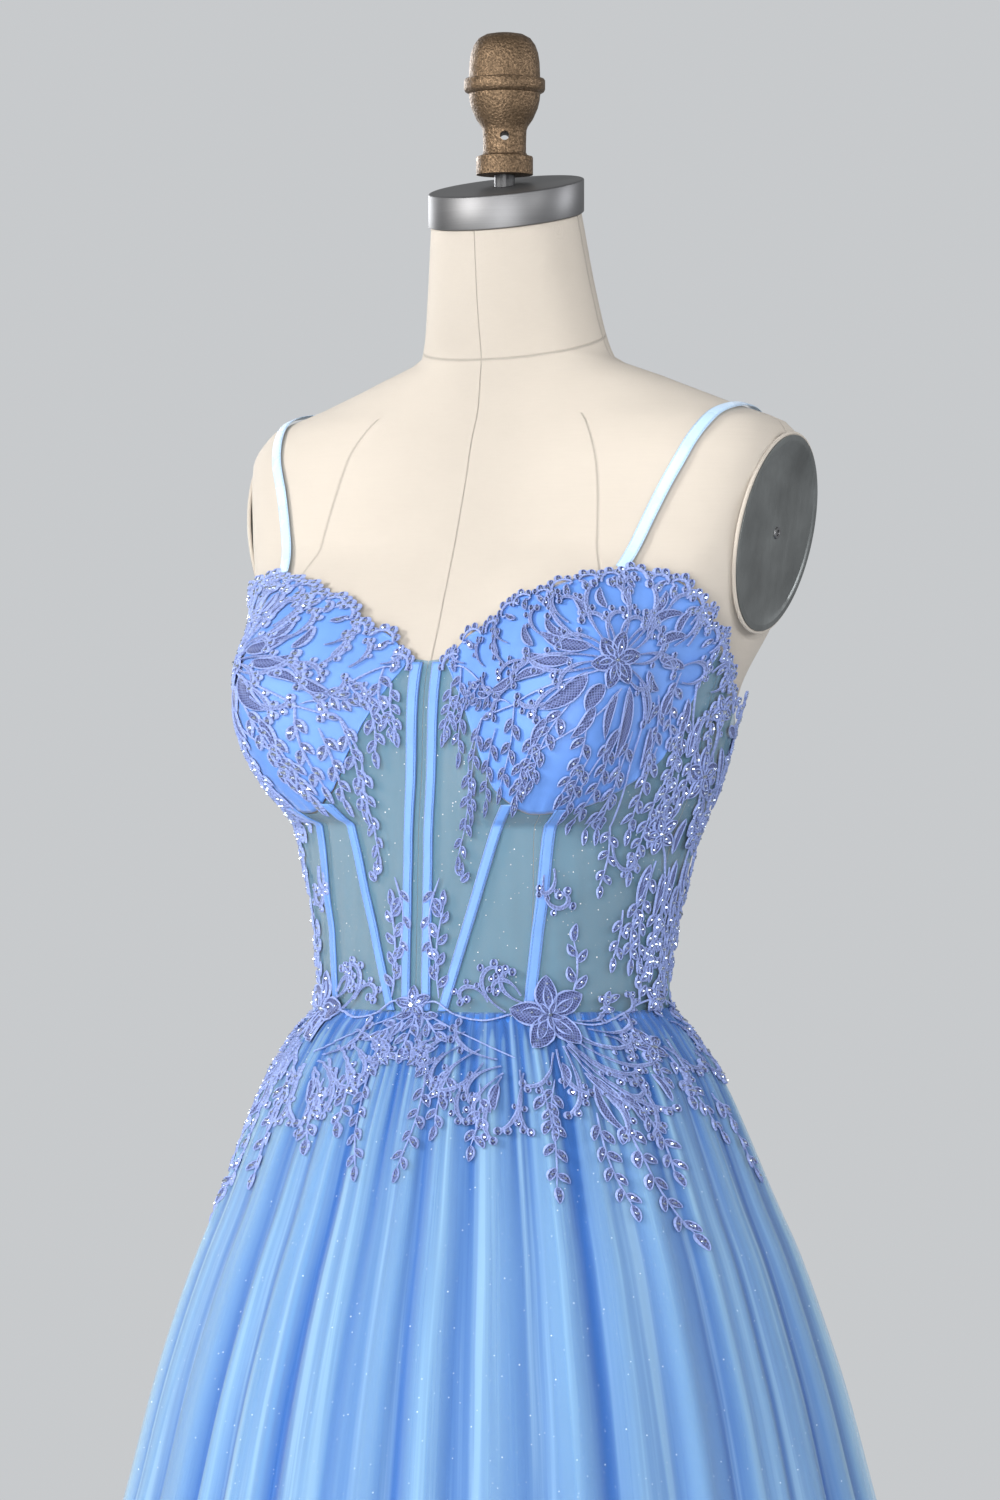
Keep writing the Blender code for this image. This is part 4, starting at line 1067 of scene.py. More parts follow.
class PROMDRESS_OT_bodice(bpy.types.Operator):
    """Sew the bodice: sheer net panels, moulded cups with their piped edges, boning casings"""
    bl_idname = "promdress.bodice"
    bl_label = "Boned bodice"

    def execute(self, context):
        colours, sizes = context.scene.prom_dress_colours, context.scene.prom_dress_sizes
        net = net_finish("glitter_net", tuple(colours.net), alpha=0.62, glitter=420.0,
                         speck=0.17, threads=9000.0)
        cup = satin_finish("cup_satin", tuple(colours.cup), roughness=0.42, sheen=0.5,
                           threads=6000.0)
        tape = satin_finish("casing_satin", tuple(colours.casing), roughness=0.36, sheen=0.4,
                            threads=6000.0, stitched=0.0026)

        def panel_lift(degrees, y):
            ripple = 0.0002 * np.sin(degrees * 0.9 + 5 * y) * np.sin(math.pi * y)
            return PANEL_TOP_LIFT - PANEL_SINK + ripple

        def cup_lift(degrees, y):
            roll = 0.0006 * (np.exp(-((y - 0.985) / 0.012) ** 2) + np.exp(-(y / 0.02) ** 2))
            pleat = 0.00035 * np.sin(degrees * 1.7) * np.exp(-(y / 0.12) ** 2)
            return PANEL_TOP_LIFT + roll + pleat

        for side, sign in (("left", 1), ("right", -1)):
            for name, low, high, columns in (("front_panel", 0.0, PRINCESS_SEAM, 44),
                                             ("side_panel", PRINCESS_SEAM, SIDE_SEAM, 44),
                                             ("back_panel", SIDE_SEAM, 180.0, 80)):
                cloth_piece(name + "_net_" + side, columns, 60,
                            panel_place(sign, low, high, waist_line, panel_top, panel_lift),
                            None, net, (name + "_" + side,))
            cloth_piece("cup_satin_" + side, 84, 64,
                        panel_place(sign, CUP_FROM, CUP_TO, cup_bottom, neckline_at, cup_lift),
                        sizes.cup_thickness, cup, ("cup_" + side,))
            for row in CASINGS:
                self.casing(row, side, sign, tape)
        return {"FINISHED"}

    def casing(self, row, side, sign, material):
        """Satin tape over a bone, domed across and slightly rippled by its sewing."""
        lean = (form_point(np.radians([row.top_angle]), np.array([row.top_z]))
                - form_point(np.radians([row.foot_angle]), np.array([row.foot_z])))[0]
        lean = abs(lean[2]) / np.linalg.norm(lean)

        def place(x, y):
            tall = (row.top_z - row.foot_z) * y
            z = row.foot_z + tall
            middle = np.radians(row.foot_angle + (row.top_angle - row.foot_angle) * y)
            reach = np.hypot(*form_point(middle, z)[:, :2].T)
            across = np.clip((x - CASING_FOLD) / (1.0 - 2 * CASING_FOLD), 0.0, 1.0)
            turned_in = np.maximum(0.0, np.abs(x - 0.5) - 0.5 + CASING_FOLD) / CASING_FOLD
            aside = (across - 0.5) * row.width - np.sign(x - 0.5) * turned_in * CASING_TURNING
            dome = TAPE_DOME * np.maximum(0.0, 1.0 - (2 * across - 1) ** 4)
            ripple = 0.00016 * np.sin(tall * 1500.0) * np.abs(2 * across - 1) ** 2
            angle = sign * (middle + sign * aside / reach / lean)
            lift = np.where(turned_in > 0.0, TAPE_FOLD_LIFT, TAPE_LIFT + dome + ripple)
            return on_form(angle, z, lift), np.stack((aside, z), axis=1)
        cloth_piece(row.name + "_tape_" + side, 14, 110, place, TAPE_WALL, material,
                    (row.name + "_" + side,))


def strap_stations(count):
    """Points down the middle of the left strap and the form's outward direction at each."""
    front, back = (
        Vector(on_form(np.array(a), neckline_at(np.array(math.degrees(a))) + 3 * SEAM, 0.0010))
        for a in (STRAP_FRONT, STRAP_BACK))
    guide = (front, front.lerp(STRAP_CREST, 0.5) + Vector((0, -0.010, 0.004)), STRAP_CREST,
             STRAP_BEHIND, STRAP_BEHIND.lerp(back, 0.5) + Vector((0, 0.02, 0)), back)

    def along(t):
        place = t * (len(guide) - 1)
        i = min(int(place), len(guide) - 2)
        near = (guide[min(max(k, 0), len(guide) - 1)] for k in (i - 1, i, i + 1, i + 2))
        return between(*near, place - i)

    grid = np.meshgrid(np.linspace(0.4, 2.8, 240), np.linspace(1.24, 1.50, 150))
    angles, heights = (part.ravel() for part in grid)
    skin = form_point(angles, heights)
    turned = form_point(angles + 0.004, heights) - form_point(angles - 0.004, heights)
    raised = form_point(angles, heights + 0.0008) - form_point(angles, heights - 0.0008)
    facing = np.cross(turned, raised)
    facing /= np.linalg.norm(facing, axis=1, keepdims=True)
    seats, normals = [], []
    for i in range(count + 1):
        point = np.array(along(i / count))
        near = np.argsort(((skin - point) ** 2).sum(1))[:12]
        weight = 1.0 / (1e-6 + ((skin[near] - point) ** 2).sum(1))
        normal = (facing[near] * weight[:, None]).sum(0)
        normal /= np.linalg.norm(normal)
        base = (skin[near] * weight[:, None]).sum(0) / weight.sum()
        seats.append(point - normal * ((point - base) @ normal) + normal * STRAP_LIFT)
        normals.append(normal)
    seats, normals = np.array(seats), np.array(normals)
    for _ in range(6):
        seats[1:-1] = 0.25 * seats[:-2] + 0.5 * seats[1:-1] + 0.25 * seats[2:]
        normals[1:-1] = 0.25 * normals[:-2] + 0.5 * normals[1:-1] + 0.25 * normals[2:]
    return seats, normals


class PROMDRESS_OT_straps(bpy.types.Operator):
    """Run the satin shoulder straps from the cups over the shoulders to the back"""
    bl_idname = "promdress.straps"
    bl_label = "Shoulder straps"

    def execute(self, context):
        colours, sizes = context.scene.prom_dress_colours, context.scene.prom_dress_sizes
        satin = satin_finish("strap_satin", tuple(colours.strap), roughness=0.26, sheen=0.4,
                             threads=7000.0, stitched=0.0033)
        count = 120
        seats, normals = strap_stations(count)
        run = np.gradient(seats, axis=0)
        aside = np.cross(run, normals)
        aside /= np.linalg.norm(aside, axis=1, keepdims=True)
        length = np.concatenate(([0.0], np.cumsum(np.linalg.norm(np.diff(seats, axis=0), axis=1))))
        for side, sign in (("left", 1), ("right", -1)):
            def place(x, y, sign=sign):
                i = np.rint(y * count).astype(int)
                roll = math.tau * x * sign
                across = 0.5 * sizes.strap_width * np.cos(roll)
                rise = sizes.strap_thickness * (0.6 + 0.6 * np.sin(roll))
                point = seats[i] + aside[i] * across[:, None] + normals[i] * rise[:, None]
                point[:, 0] *= sign
                return point, np.stack((across, length[i]), axis=1)
            cloth_piece("strap_satin_" + side, 16, count, place, STRAP_WALL, satin,
                        ("strap_" + side,), True)
        return {"FINISHED"}


# ---------------------------------------------------------------- the skirt

def half_skirt(start, low_z, high_z, sink):
    """Lays half of a skirt layer, from the centre front round or from the back round. Its
    rows lie closer together towards the waist."""
    def place(x, y):
        angle = start + HALF_GAP + (math.pi - 2 * HALF_GAP) * x
        z = low_z + (high_z - low_z) * (1.0 - (1.0 - y) ** 1.25)
        cloth = np.stack((angle * SKIRT_CLOTH, (high_z - z) * 1.05), axis=1)
        return on_skirt(angle, z, -sink(angle, z)), cloth
    return place


class PROMDRESS_OT_skirt(bpy.types.Operator):
    """Gather the skirt: an opaque lining under two layers of glitter tulle"""
    bl_idname = "promdress.skirt"
    bl_label = "Tulle skirt"

    def execute(self, context):
        colours, sizes = context.scene.prom_dress_colours, context.scene.prom_dress_sizes
        lining = satin_finish("lining_satin", tuple(colours.lining), roughness=0.5, sheen=0.4,
                              threads=5000.0)
        under = net_finish("under_tulle", tuple(colours.under_tulle), alpha=0.50, glitter=240.0,
                           speck=0.10, threads=7000.0, deep=tuple(colours.painted_fold_shade_tulle))
        outer = net_finish("outer_tulle", tuple(colours.tulle), alpha=0.34, glitter=330.0,
                           speck=0.13, threads=7000.0, deep=tuple(colours.painted_fold_shade_tulle))
        columns = sizes.fold_columns
        for half, start in (("front", -math.pi / 2), ("back", math.pi / 2)):
            cloth_piece("lining_satin_" + half, 140, 60,
                        half_skirt(start, HEM_Z + LINING_HEM_RISE, WAIST_Z - SEAM, lining_sink),
                        sizes.lining_thickness, lining, ("lining_" + half,),
                        depth=lambda angle, z: lining_folds(angle))
            cloth_piece("under_tulle_" + half, columns * 5 // 8, 70,
                        half_skirt(start, HEM_Z + 0.003, WAIST_Z - SEAM, inner_sink), None, under,
                        ("tulle_" + half,),
                        depth=lambda angle, z: inner_sink(angle, z) / skirt_fold(z))
            cloth_piece("outer_tulle_" + half, columns, 84,
                        half_skirt(start, HEM_Z, WAIST_Z + 2 * SEAM, outer_sink), None, outer,
                        ("tulle_" + half,),
                        depth=lambda angle, z: outer_sink(angle, z) / skirt_fold(z))
        return {"FINISHED"}


# ---------------------------------------------------------------- the lace

LeafRow = namedtuple("LeafRow", "angle z heading length half_width bend")
SprayRow = namedtuple("SprayRow", "angle z heading length pairs leaf bow")
ScrollRow = namedtuple("ScrollRow", "angle z heading length curl")
BloomRow = namedtuple("BloomRow", "angle z petal petals turn")
VineRow = namedtuple("VineRow", "points")

# Headings turn from 0, towards the wearer's left, to 90, straight up
CUP_BLOOMS = (BloomRow(51, 1.303, .0165, 6, 10),)
CUP_LEAVES = tuple(LeafRow(*row) for row in (
    (46, 1.312, 163, .034, .005, .12), (45, 1.296, 222, .036, .0062, .1),
    (49, 1.288, 238, .02, .0058, -.1), (55, 1.287, 268, .046, .005, .06),
    (60, 1.297, 318, .019, .0034, -.15), (58, 1.318, 28, .03, .0036, .22),
    (63, 1.303, 345, .02, .0032, .1), (52, 1.284, 262, .03, .0036, -.08),
    (59, 1.288, 290, .026, .0034, .14), (64, 1.262, 268, .026, .0036, .08),
    (70, 1.286, 250, .022, .0034, -.12), (38, 1.268, 250, .022, .0036, -.1),
    (40, 1.318, 130, .018, .0034, .15), (34, 1.312, 118, .018, .0034, .15),
    (26, 1.306, 120, .015, .003, .12), (47, 1.276, 240, .024, .004, .1),
    (54, 1.262, 255, .024, .0038, -.1), (66, 1.318, 65, .018, .0032, .15),
    (44, 1.33, 112, .017, .003, -.15), (54, 1.336, 88, .015, .003, .15),
    (59, 1.332, 60, .017, .003, -.15), (76, 1.28, 262, .026, .0036, .1),
    (30, 1.293, 205, .02, .0036, .1), (64, 1.3, 355, .022, .0036, .1),
    (37, 1.296, 196, .024, .0036, -.12), (49, 1.335, 100, .016, .003, .15),
    (42, 1.304, 172, .03, .0044, .12), (61, 1.312, 15, .024, .0038, .12),
))
CUP_SCROLLS = tuple(
    ScrollRow(51 + 3.2 * math.cos(math.radians(heading)),
              1.303 + .01 * math.sin(math.radians(heading)),
              heading, length, curl)
    for heading, length, curl in (
        (196, .05, -1.5), (182, .032, 1.9), (170, .056, 1.3), (152, .052, -1.2),
        (138, .034, 2.2), (126, .046, -1.5), (112, .03, -2.8), (98, .034, 2.6),
        (84, .03, -2.9), (70, .044, 1.5), (56, .034, -2.4), (42, .048, 1.6),
        (26, .034, 2.3), (12, .048, -1.5), (352, .034, 2.1), (334, .046, -1.8),
        (312, .03, 2.2))) + (
    ScrollRow(37, 1.316, 150, .03, -2.2), ScrollRow(36, 1.306, 192, .032, 2),
    ScrollRow(30, 1.298, 160, .034, -1.8), ScrollRow(31, 1.288, 196, .03, 1.9),
    ScrollRow(22, 1.3, 150, .022, -2.2), ScrollRow(22.5, 1.292, 190, .024, 2),
    ScrollRow(15, 1.302, 176, .018, -2), ScrollRow(70, 1.312, 60, .026, 2.2),
    ScrollRow(71, 1.3, 20, .028, -2), ScrollRow(72, 1.29, 350, .028, 2.2),
    ScrollRow(82, 1.296, 40, .022, -2.2), ScrollRow(84, 1.284, 5, .026, 2),
    ScrollRow(40, 1.282, 215, .03, -1.8), ScrollRow(34, 1.303, 175, .03, 1.6),
    ScrollRow(28, 1.314, 165, .024, -2), ScrollRow(41, 1.326, 138, .028, -1.8),
    ScrollRow(45, 1.334, 118, .022, 2.2), ScrollRow(62, 1.33, 70, .024, -2),
    ScrollRow(66, 1.312, 28, .028, 2), ScrollRow(69, 1.325, 60, .022, -2.2),
    ScrollRow(27, 1.284, 185, .022, -2), ScrollRow(43, 1.291, 198, .036, 1.7),
    ScrollRow(53, 1.343, 100, .018, -2.4), ScrollRow(78, 1.308, 30, .02, 2.2),
)
CUP_SPRAYS = tuple(SprayRow(*row) for row in (
    (31, 1.276, 262, .06, 3, .0105, .05), (30, 1.277, 200, .026, 1, .0095, -.2),
    (23, 1.268, 262, .066, 4, .01, -.06), (21.5, 1.29, 212, .026, 2, .009, .1),
    (14, 1.3, 258, .05, 3, .0095, .1), (19, 1.24, 262, .066, 4, .0095, .06),
    (42, 1.276, 250, .058, 4, .0105, -.08), (46, 1.262, 262, .05, 3, .01, .05),
    (52, 1.258, 265, .062, 4, .01, .06), (58, 1.26, 272, .07, 4, .01, -.05),
    (65, 1.282, 272, .052, 3, .01, .08), (71, 1.296, 280, .06, 4, .0095, -.1),
    (9, 1.17, 268, .06, 3, .009, -.1), (17, 1.168, 86, .01, 1, .008, 0),
    (62, 1.205, 268, .058, 3, .0095, .06), (27, 1.262, 262, .054, 3, .0105, -.05),
    (36, 1.262, 258, .052, 3, .011, .06), (35, 1.246, 262, .04, 2, .0105, -.05),
    (48, 1.244, 266, .044, 3, .01, -.06), (56, 1.244, 268, .056, 3, .01, .08),
    (68, 1.25, 270, .06, 4, .01, -.06), (26, 1.286, 200, .026, 2, .0095, .1),
    (17, 1.278, 262, .04, 2, .01, -.06), (74, 1.262, 272, .056, 4, .01, .06),
    (11, 1.29, 262, .04, 3, .009, .05),
))
CUP_VINES = (
    VineRow(((51, 1.3), (40, 1.29), (34, 1.282), (31, 1.276))),
    VineRow(((31, 1.276), (27, 1.272), (23, 1.268), (20, 1.25), (19, 1.24))),
    VineRow(((21.5, 1.29), (18, 1.296), (14, 1.3), (9, 1.3))),
    VineRow(((53, 1.286), (48, 1.27), (42, 1.258), (36, 1.246))),
    VineRow(((55, 1.285), (54, 1.262), (50, 1.24), (47, 1.214))),
    VineRow(((58, 1.29), (61, 1.268), (60, 1.24), (62, 1.205))),
)
RING_SCROLLS = tuple(ScrollRow(*row) for row in (
    (44, 1.172, 262, .04, 5.2), (47, 1.176, 284, .022, -3), (64, 1.19, 280, .034, 4.4),
))
SIDE_BLOOMS = tuple(BloomRow(*row) for row in (
    (88, 1.232, .0165, 5, 20), (98, 1.196, .014, 5, 0), (79, 1.196, .013, 5, 40),
    (92, 1.272, .012, 5, 50),
))
SIDE_LEAVES = tuple(
    LeafRow(angle, z, heading, .024 + .006 * math.sin(angle), .0036,
            .12 * math.cos(z * 90 + angle))
    for angle, z, heading in (
        (80, 1.262, 265), (84, 1.27, 250), (96, 1.25, 290), (101, 1.232, 305),
        (93, 1.214, 275), (83, 1.214, 240), (88, 1.206, 262), (104, 1.206, 330),
        (97, 1.18, 280), (90, 1.18, 262), (84, 1.172, 265), (78, 1.178, 255),
        (99, 1.262, 340), (106, 1.24, 350), (94, 1.164, 268), (100, 1.16, 285)))
SIDE_SPRAYS = tuple(SprayRow(*row) for row in (
    (76, 1.278, 262, .062, 4, .01, .08), (80, 1.18, 268, .07, 4, .01, -.06),
    (87, 1.176, 266, .072, 5, .01, .05), (94, 1.164, 272, .062, 4, .01, .05),
    (101, 1.178, 285, .056, 4, .0095, -.1), (72, 1.222, 266, .06, 4, .0095, .07),
    (106, 1.226, 352, .086, 5, .0105, .06), (104, 1.246, 8, .06, 4, .01, -.08),
    (103, 1.206, 330, .052, 3, .0095, .1), (90, 1.282, 262, .04, 3, .009, -.1),
    (96, 1.28, 330, .05, 3, .009, .12), (70, 1.15, 264, .038, 2, .009, .06),
    (150, 1.228, 10, .034, 2, .009, .1), (116, 1.2, 300, .046, 3, .009, .1),
    (78, 1.234, 262, .046, 3, .0105, .06), (84, 1.256, 262, .046, 3, .0105, -.06),
    (92, 1.246, 272, .05, 3, .0105, .08), (84, 1.152, 268, .046, 3, .01, .05),
    (91, 1.15, 270, .05, 3, .01, -.05), (99, 1.15, 275, .046, 3, .01, .05),
    (76, 1.16, 268, .05, 3, .01, -.05), (106, 1.19, 300, .046, 3, .01, .05),
    (99, 1.228, 300, .046, 3, .01, -.08), (112, 1.256, 340, .05, 3, .01, .08),
    (124, 1.24, 352, .046, 3, .01, -.08),
))
SIDE_SCROLLS = tuple(ScrollRow(*row) for row in (
    (90, 1.24, 60, .034, 2), (85, 1.24, 120, .034, -2), (95, 1.222, 10, .034, 2.2),
    (92, 1.22, 320, .03, -2.2), (82, 1.226, 210, .026, 2.4), (103, 1.262, 20, .03, 2.2),
))
SIDE_VINES = (
    VineRow(((78, 1.29), (80, 1.262), (84, 1.24), (88, 1.232), (92, 1.214), (98, 1.196))),
    VineRow(((88, 1.232), (97, 1.236), (106, 1.226), (120, 1.228), (136, 1.226))),
    VineRow(((79, 1.196), (84, 1.18), (87, 1.15), (84, 1.112))),
    VineRow(((98, 1.196), (96, 1.17), (93, 1.14), (90, 1.112))),
)
WAIST_BLOOMS = tuple(BloomRow(*row) for row in (
    (47, 1.0865, .0235, 5, 95), (76, 1.066, .0115, 5, 30), (88, 1.094, .011, 5, 0),
))
WAIST_SPRAYS = tuple(SprayRow(*row) for row in (
    (54, 1.093, 88, .048, 2, .0105, -.08), (9.5, 1.096, 88, .066, 4, .0095, .05),
    (3, 1.09, 170, .012, 1, .008, 0), (64, 1.089, 30, .016, 1, .0085, 0),
    (80, 1.092, 75, .04, 3, .009, .06), (96, 1.09, 98, .034, 2, .009, .06),
    (100, 1.088, 350, .04, 3, .009, -.06), (118, 1.086, 20, .036, 2, .009, .06),
    (112, 1.08, 262, .03, 2, .009, .06), (160, 1.082, 262, .034, 2, .009, -.06),
))
WAIST_SCROLLS = tuple(ScrollRow(*row) for row in (
    (40, 1.093, 165, .032, -3), (38, 1.098, 120, .026, 3.4), (27, 1.094, 120, .03, 4.4),
    (33, 1.088, 150, .04, -3.2), (56, 1.083, 350, .034, 2.6), (58, 1.078, 340, .04, 2),
    (20, 1.076, 195, .034, 1.6), (19, 1.068, 205, .036, 1.9), (30, 1.06, 168, .04, -1.7),
    (31, 1.056, 190, .036, 2.2), (31.5, 1.052, 215, .04, 1.8), (31, 1.05, 238, .044, 1.3),
    (13, 1.072, 185, .026, 2.2), (14, 1.064, 222, .028, -1.9), (25, 1.066, 210, .04, 1.5),
    (26, 1.058, 235, .036, -1.4), (62, 1.074, 350, .03, -2.2), (70, 1.082, 20, .028, 2.4),
    (94, 1.08, 340, .034, -1.8), (120, 1.078, 340, .034, 1.8), (6, 1.08, 250, .02, 2),
))
WAIST_VINES = (
    VineRow(((1, 1.09), (8, 1.094), (16, 1.086), (26, 1.083), (36, 1.087), (44, 1.087))),
    VineRow(((3, 1.088), (13, 1.08), (24, 1.071), (35, 1.061))),
    VineRow(((50, 1.084), (60, 1.08), (70, 1.084), (80, 1.092), (92, 1.094), (110, 1.086),
             (130, 1.088), (150, 1.084), (170, 1.086))),
    VineRow(((52, 1.082), (58, 1.07), (68, 1.066), (76, 1.066))),
)
SKIRT_FAN = tuple(ScrollRow(*row) for row in (
    (50, 1.072, 305, .052, 1), (51, 1.07, 316, .056, 1.2), (50, 1.068, 296, .064, .9),
    (49, 1.068, 286, .05, -1.2), (47, 1.066, 268, .036, 1.6), (46, 1.064, 252, .036, -1.8),
    (52, 1.074, 330, .05, 1.6), (66, 1.05, 300, .046, -1.6), (82, 1.066, 310, .04, 1.6),
    (84, 1.07, 285, .036, -1.5), (52.5, 1.072, 322, .066, 1.4), (50.5, 1.069, 301, .076, 1.1),
    (54, 1.05, 312, .046, -1.3), (59, 1.046, 322, .036, 1.8), (37, 1.052, 250, .04, 1.2),
    (36, 1.054, 272, .044, -1.2), (22, 1.052, 240, .034, 1.6), (96, 1.062, 310, .04, 1.5),
    (108, 1.07, 290, .036, -1.5), (140, 1.076, 285, .04, 1.6),
))
SKIRT_LEAVES = tuple(LeafRow(*row) for row in (
    (53, 1.052, 300, .04, .0036, .1), (55, 1.046, 292, .036, .0034, -.12),
    (48, 1.058, 262, .018, .0034, .1), (60, 1.04, 305, .026, .0036, .12),
    (30, 1.046, 262, .018, .0034, -.1), (72, 1.05, 296, .022, .0032, .1),
))
SKIRT_SPRAYS = tuple(SprayRow(*row) for row in (
    (9.5, 1.062, 262, .086, 5, .01, .05), (18, 1.058, 258, .052, 3, .01, -.06),
    (25, 1.046, 264, .05, 3, .01, .05), (12, 1.068, 200, .026, 2, .009, .12),
    (41, 1.046, 272, .078, 4, .0105, .04), (45, 1.048, 262, .04, 2, .01, -.06),
    (54, 1.028, 280, .07, 4, .0105, -.05), (60, 1.028, 290, .095, 5, .0115, -.05),
    (66, 1.03, 286, .052, 3, .01, .08), (70, 1.076, 288, .048, 3, .0095, .08),
    (84, 1.05, 292, .056, 3, .01, -.08), (93, 1.036, 296, .068, 4, .0105, .05),
    (82, 1.062, 272, .04, 2, .0095, .06), (104, 1.076, 290, .052, 3, .01, .08),
    (128, 1.07, 282, .08, 4, .01, -.05), (150, 1.074, 268, .056, 3, .01, .06),
    (172, 1.074, 268, .044, 2, .0095, .03),
))


@functools.lru_cache(maxsize=None)
def cloth_reach(angle, z):
    """Metres for each radian round a place, and height for each metre up the cloth."""
    angle, z = np.array([math.radians(angle)]), np.array([z])
    here = on_skin(angle, z, 0.0)[0]
    side = on_skin(angle + PROBE_ANGLE, z, 0.0)[0]
    rise = on_skin(angle, z + PROBE_RISE, 0.0)[0]
    return (max(0.03, np.linalg.norm(side - here) / PROBE_ANGLE),
            PROBE_RISE / max(PROBE_RISE, np.linalg.norm(rise - here)))


def heading_axes(turn):
    """The flat directions ahead and to the left of a heading in radians."""
    ahead = np.array((math.cos(turn), math.sin(turn)))
    return ahead, np.array((-ahead[1], ahead[0]))


def mirrored(*half, middle=()):
    """A strip's profile from its first half. A point of it gives place across, height, and
    1 for a cord or 0 for flat filling."""
    return (*half, *middle, *((-place, height, cord) for place, height, cord in reversed(half)))


class Embroidery:
    """Lace in the making: flat strips of cord and leaf whose points hold the angle, the
    height and the lift off the cloth, laid on the dress at the end, and its stones."""

    def __init__(self, sign, cord, gem):
        self.sign, self.cord, self.gem = sign, cord, gem
        self.finished = {"thread": [], "stones": []}
        self.thread = self.stones = None
        self.set_aside()
    def set_aside(self):
        """Puts what is made so far aside, because Blender's operators slow down with the
        size of the mesh that they add to, and starts afresh."""
        for kind, meshes in self.finished.items():
            bm = getattr(self, kind)
            if bm is not None:
                meshes.append(turned_to_mesh(bm, "lace_part"))
            setattr(self, kind, bmesh.new())
        self.relief, self.across, self.along = (self.thread.verts.layers.float.new(name)
                                                for name in THREAD_LAYERS)

    def strip(self, angle, z, spine, half_widths, profile, lift):
        """A strip along flat points round a place."""
        if len(self.thread.verts) > LACE_PART_POINTS:
            self.set_aside()
        reach, slope = cloth_reach(angle, z)
        rows, columns = len(spine) - 1, len(profile) - 1
        made = bmesh.ops.create_grid(self.thread, x_segments=columns, y_segments=rows, size=0.5)
        run = np.gradient(spine, axis=0)
        length = np.linalg.norm(run, axis=1, keepdims=True)
        run /= np.maximum(1e-9, length)
        aside = np.stack((run[:, 1], -run[:, 0]), axis=1)
        walked = np.cumsum(length[:, 0])
        widest = max(half_widths)
        centre = math.radians(angle)
        for vert in made["verts"]:
            i, k = round((vert.co.y + 0.5) * rows), round((vert.co.x + 0.5) * columns)
            place, height, cord = profile[k]
            flat = spine[i] + aside[i] * (place * half_widths[i])
            taper = min(1.0, half_widths[i] / widest * 2.5 + 0.25)
            vert.co = (self.sign * (centre + flat[0] / reach), z + flat[1] * slope,
                       lift + height * taper)
            vert[self.relief] = 1.0 if i in (0, rows) else cord
            vert[self.across] = place * half_widths[i]
            vert[self.along] = walked[i]

    def line(self, angle, z, local, radius, lift=0.0):
        """A raised cord along flat points round a place."""
        half = np.full(len(local), radius)
        half[0] = half[-1] = radius * 0.4
        profile = mirrored((-1.0, THREAD_EDGE, 1.0), (-0.7, radius * 1.2, 1.0))
        self.strip(angle, z, np.asarray(local), half, profile, lift)

    def leaf(self, angle, z, heading, length, half_width, bend=0.0, stone=True,
             start=(0.0, 0.0), lift=0.0, rows=9):
        """A pointed leaf with a corded edge, a vein and a stone in it."""
        t = np.linspace(0.0, 1.0, rows)
        ahead, side = heading_axes(math.radians(heading))
        spine = (np.array(start) + ahead * (length * t)[:, None]
                 + side * (bend * length * np.sin(math.pi * t))[:, None])
        half = half_width * np.sin(math.pi * t ** 0.85) ** 0.8 + 0.00015
        rim = max(0.55, 1.0 - 0.00115 / half_width)
        profile = mirrored((-1.0, THREAD_EDGE, 1.0), (-0.5 - rim / 2, THREAD_CREST, 1.0),
                           (-rim, THREAD_INSIDE, 1.0), (0.06 - rim, THREAD_FILLING, 0.0),
                           middle=((0.0, 0.0006, 0.25),))
        self.strip(angle, z, spine, half, profile, lift)
        if stone:
            self.stone(angle, z, spine[rows // 2], 1.0, lift)

    def stone(self, angle, z, local, size, lift):
        """A foiled stone, set on the thread, its top tilted its own way."""
        reach, slope = cloth_reach(angle, z)
        radius = self.gem * size
        made = bmesh.ops.create_cone(self.stones, cap_ends=True, segments=STONE_SIDES,
                                     radius1=radius, radius2=radius * 0.5, depth=radius * 0.9)
        centre = math.radians(angle)
        lean = 0.45 * math.sin(91.0 * angle + 1300.0 * local[0])
        way = 57.0 * angle + 2100.0 * local[1]
        for vert in made["verts"]:
            if vert.co.z > 0.0:
                vert.co.z += lean * (vert.co.x * math.cos(way) + vert.co.y * math.sin(way))
            vert.co = (self.sign * (centre + (local[0] + vert.co.x) / reach),
                       z + (local[1] + vert.co.y) * slope, lift + STONE_SEAT + vert.co.z)

    def scroll(self, row, lift):
        """A cord that swells and curls over, with a head of four stone-set lobes."""
        t = np.linspace(0.0, 1.0, 20)
        turn = math.radians(row.heading) + row.curl * (0.25 * t + 0.75 * t ** 3)
        step = row.length / (len(t) - 1)
        spine = np.concatenate(([[0.0, 0.0]], np.cumsum(
            np.stack((np.cos(turn), np.sin(turn)), axis=1)[:-1] * step, axis=0)))
        half = self.cord * (0.9 + 1.7 * ease(0.2, 0.65, t) * (1.0 - 0.5 * ease(0.8, 1.0, t)))
        profile = mirrored((-1.0, THREAD_EDGE, 1.0), (-0.75, THREAD_CREST, 1.0),
                           (-0.35, 0.0008, 0.45))
        self.strip(row.angle, row.z, spine, half, profile, lift)
        outer = -math.copysign(1.0, row.curl)
        size = min(0.0027, 0.0012 + row.length * 0.04)
        for share, out, grow in ((0.62, 0.9, 0.75), (0.80, 0.9, 0.9), (0.95, 0.5, 1.0)):
            i = int(share * (len(t) - 1))
            side = heading_axes(turn[i])[1] * outer
            centre = spine[i] + side * (half[i] + size * out * grow)
            self.lobe(row.angle, row.z, centre, size * grow, lift + 0.0001)
        tip = spine[-1] + heading_axes(turn[-1])[0] * size * 0.9
        self.lobe(row.angle, row.z, tip, size * 1.05, lift + 0.0002)

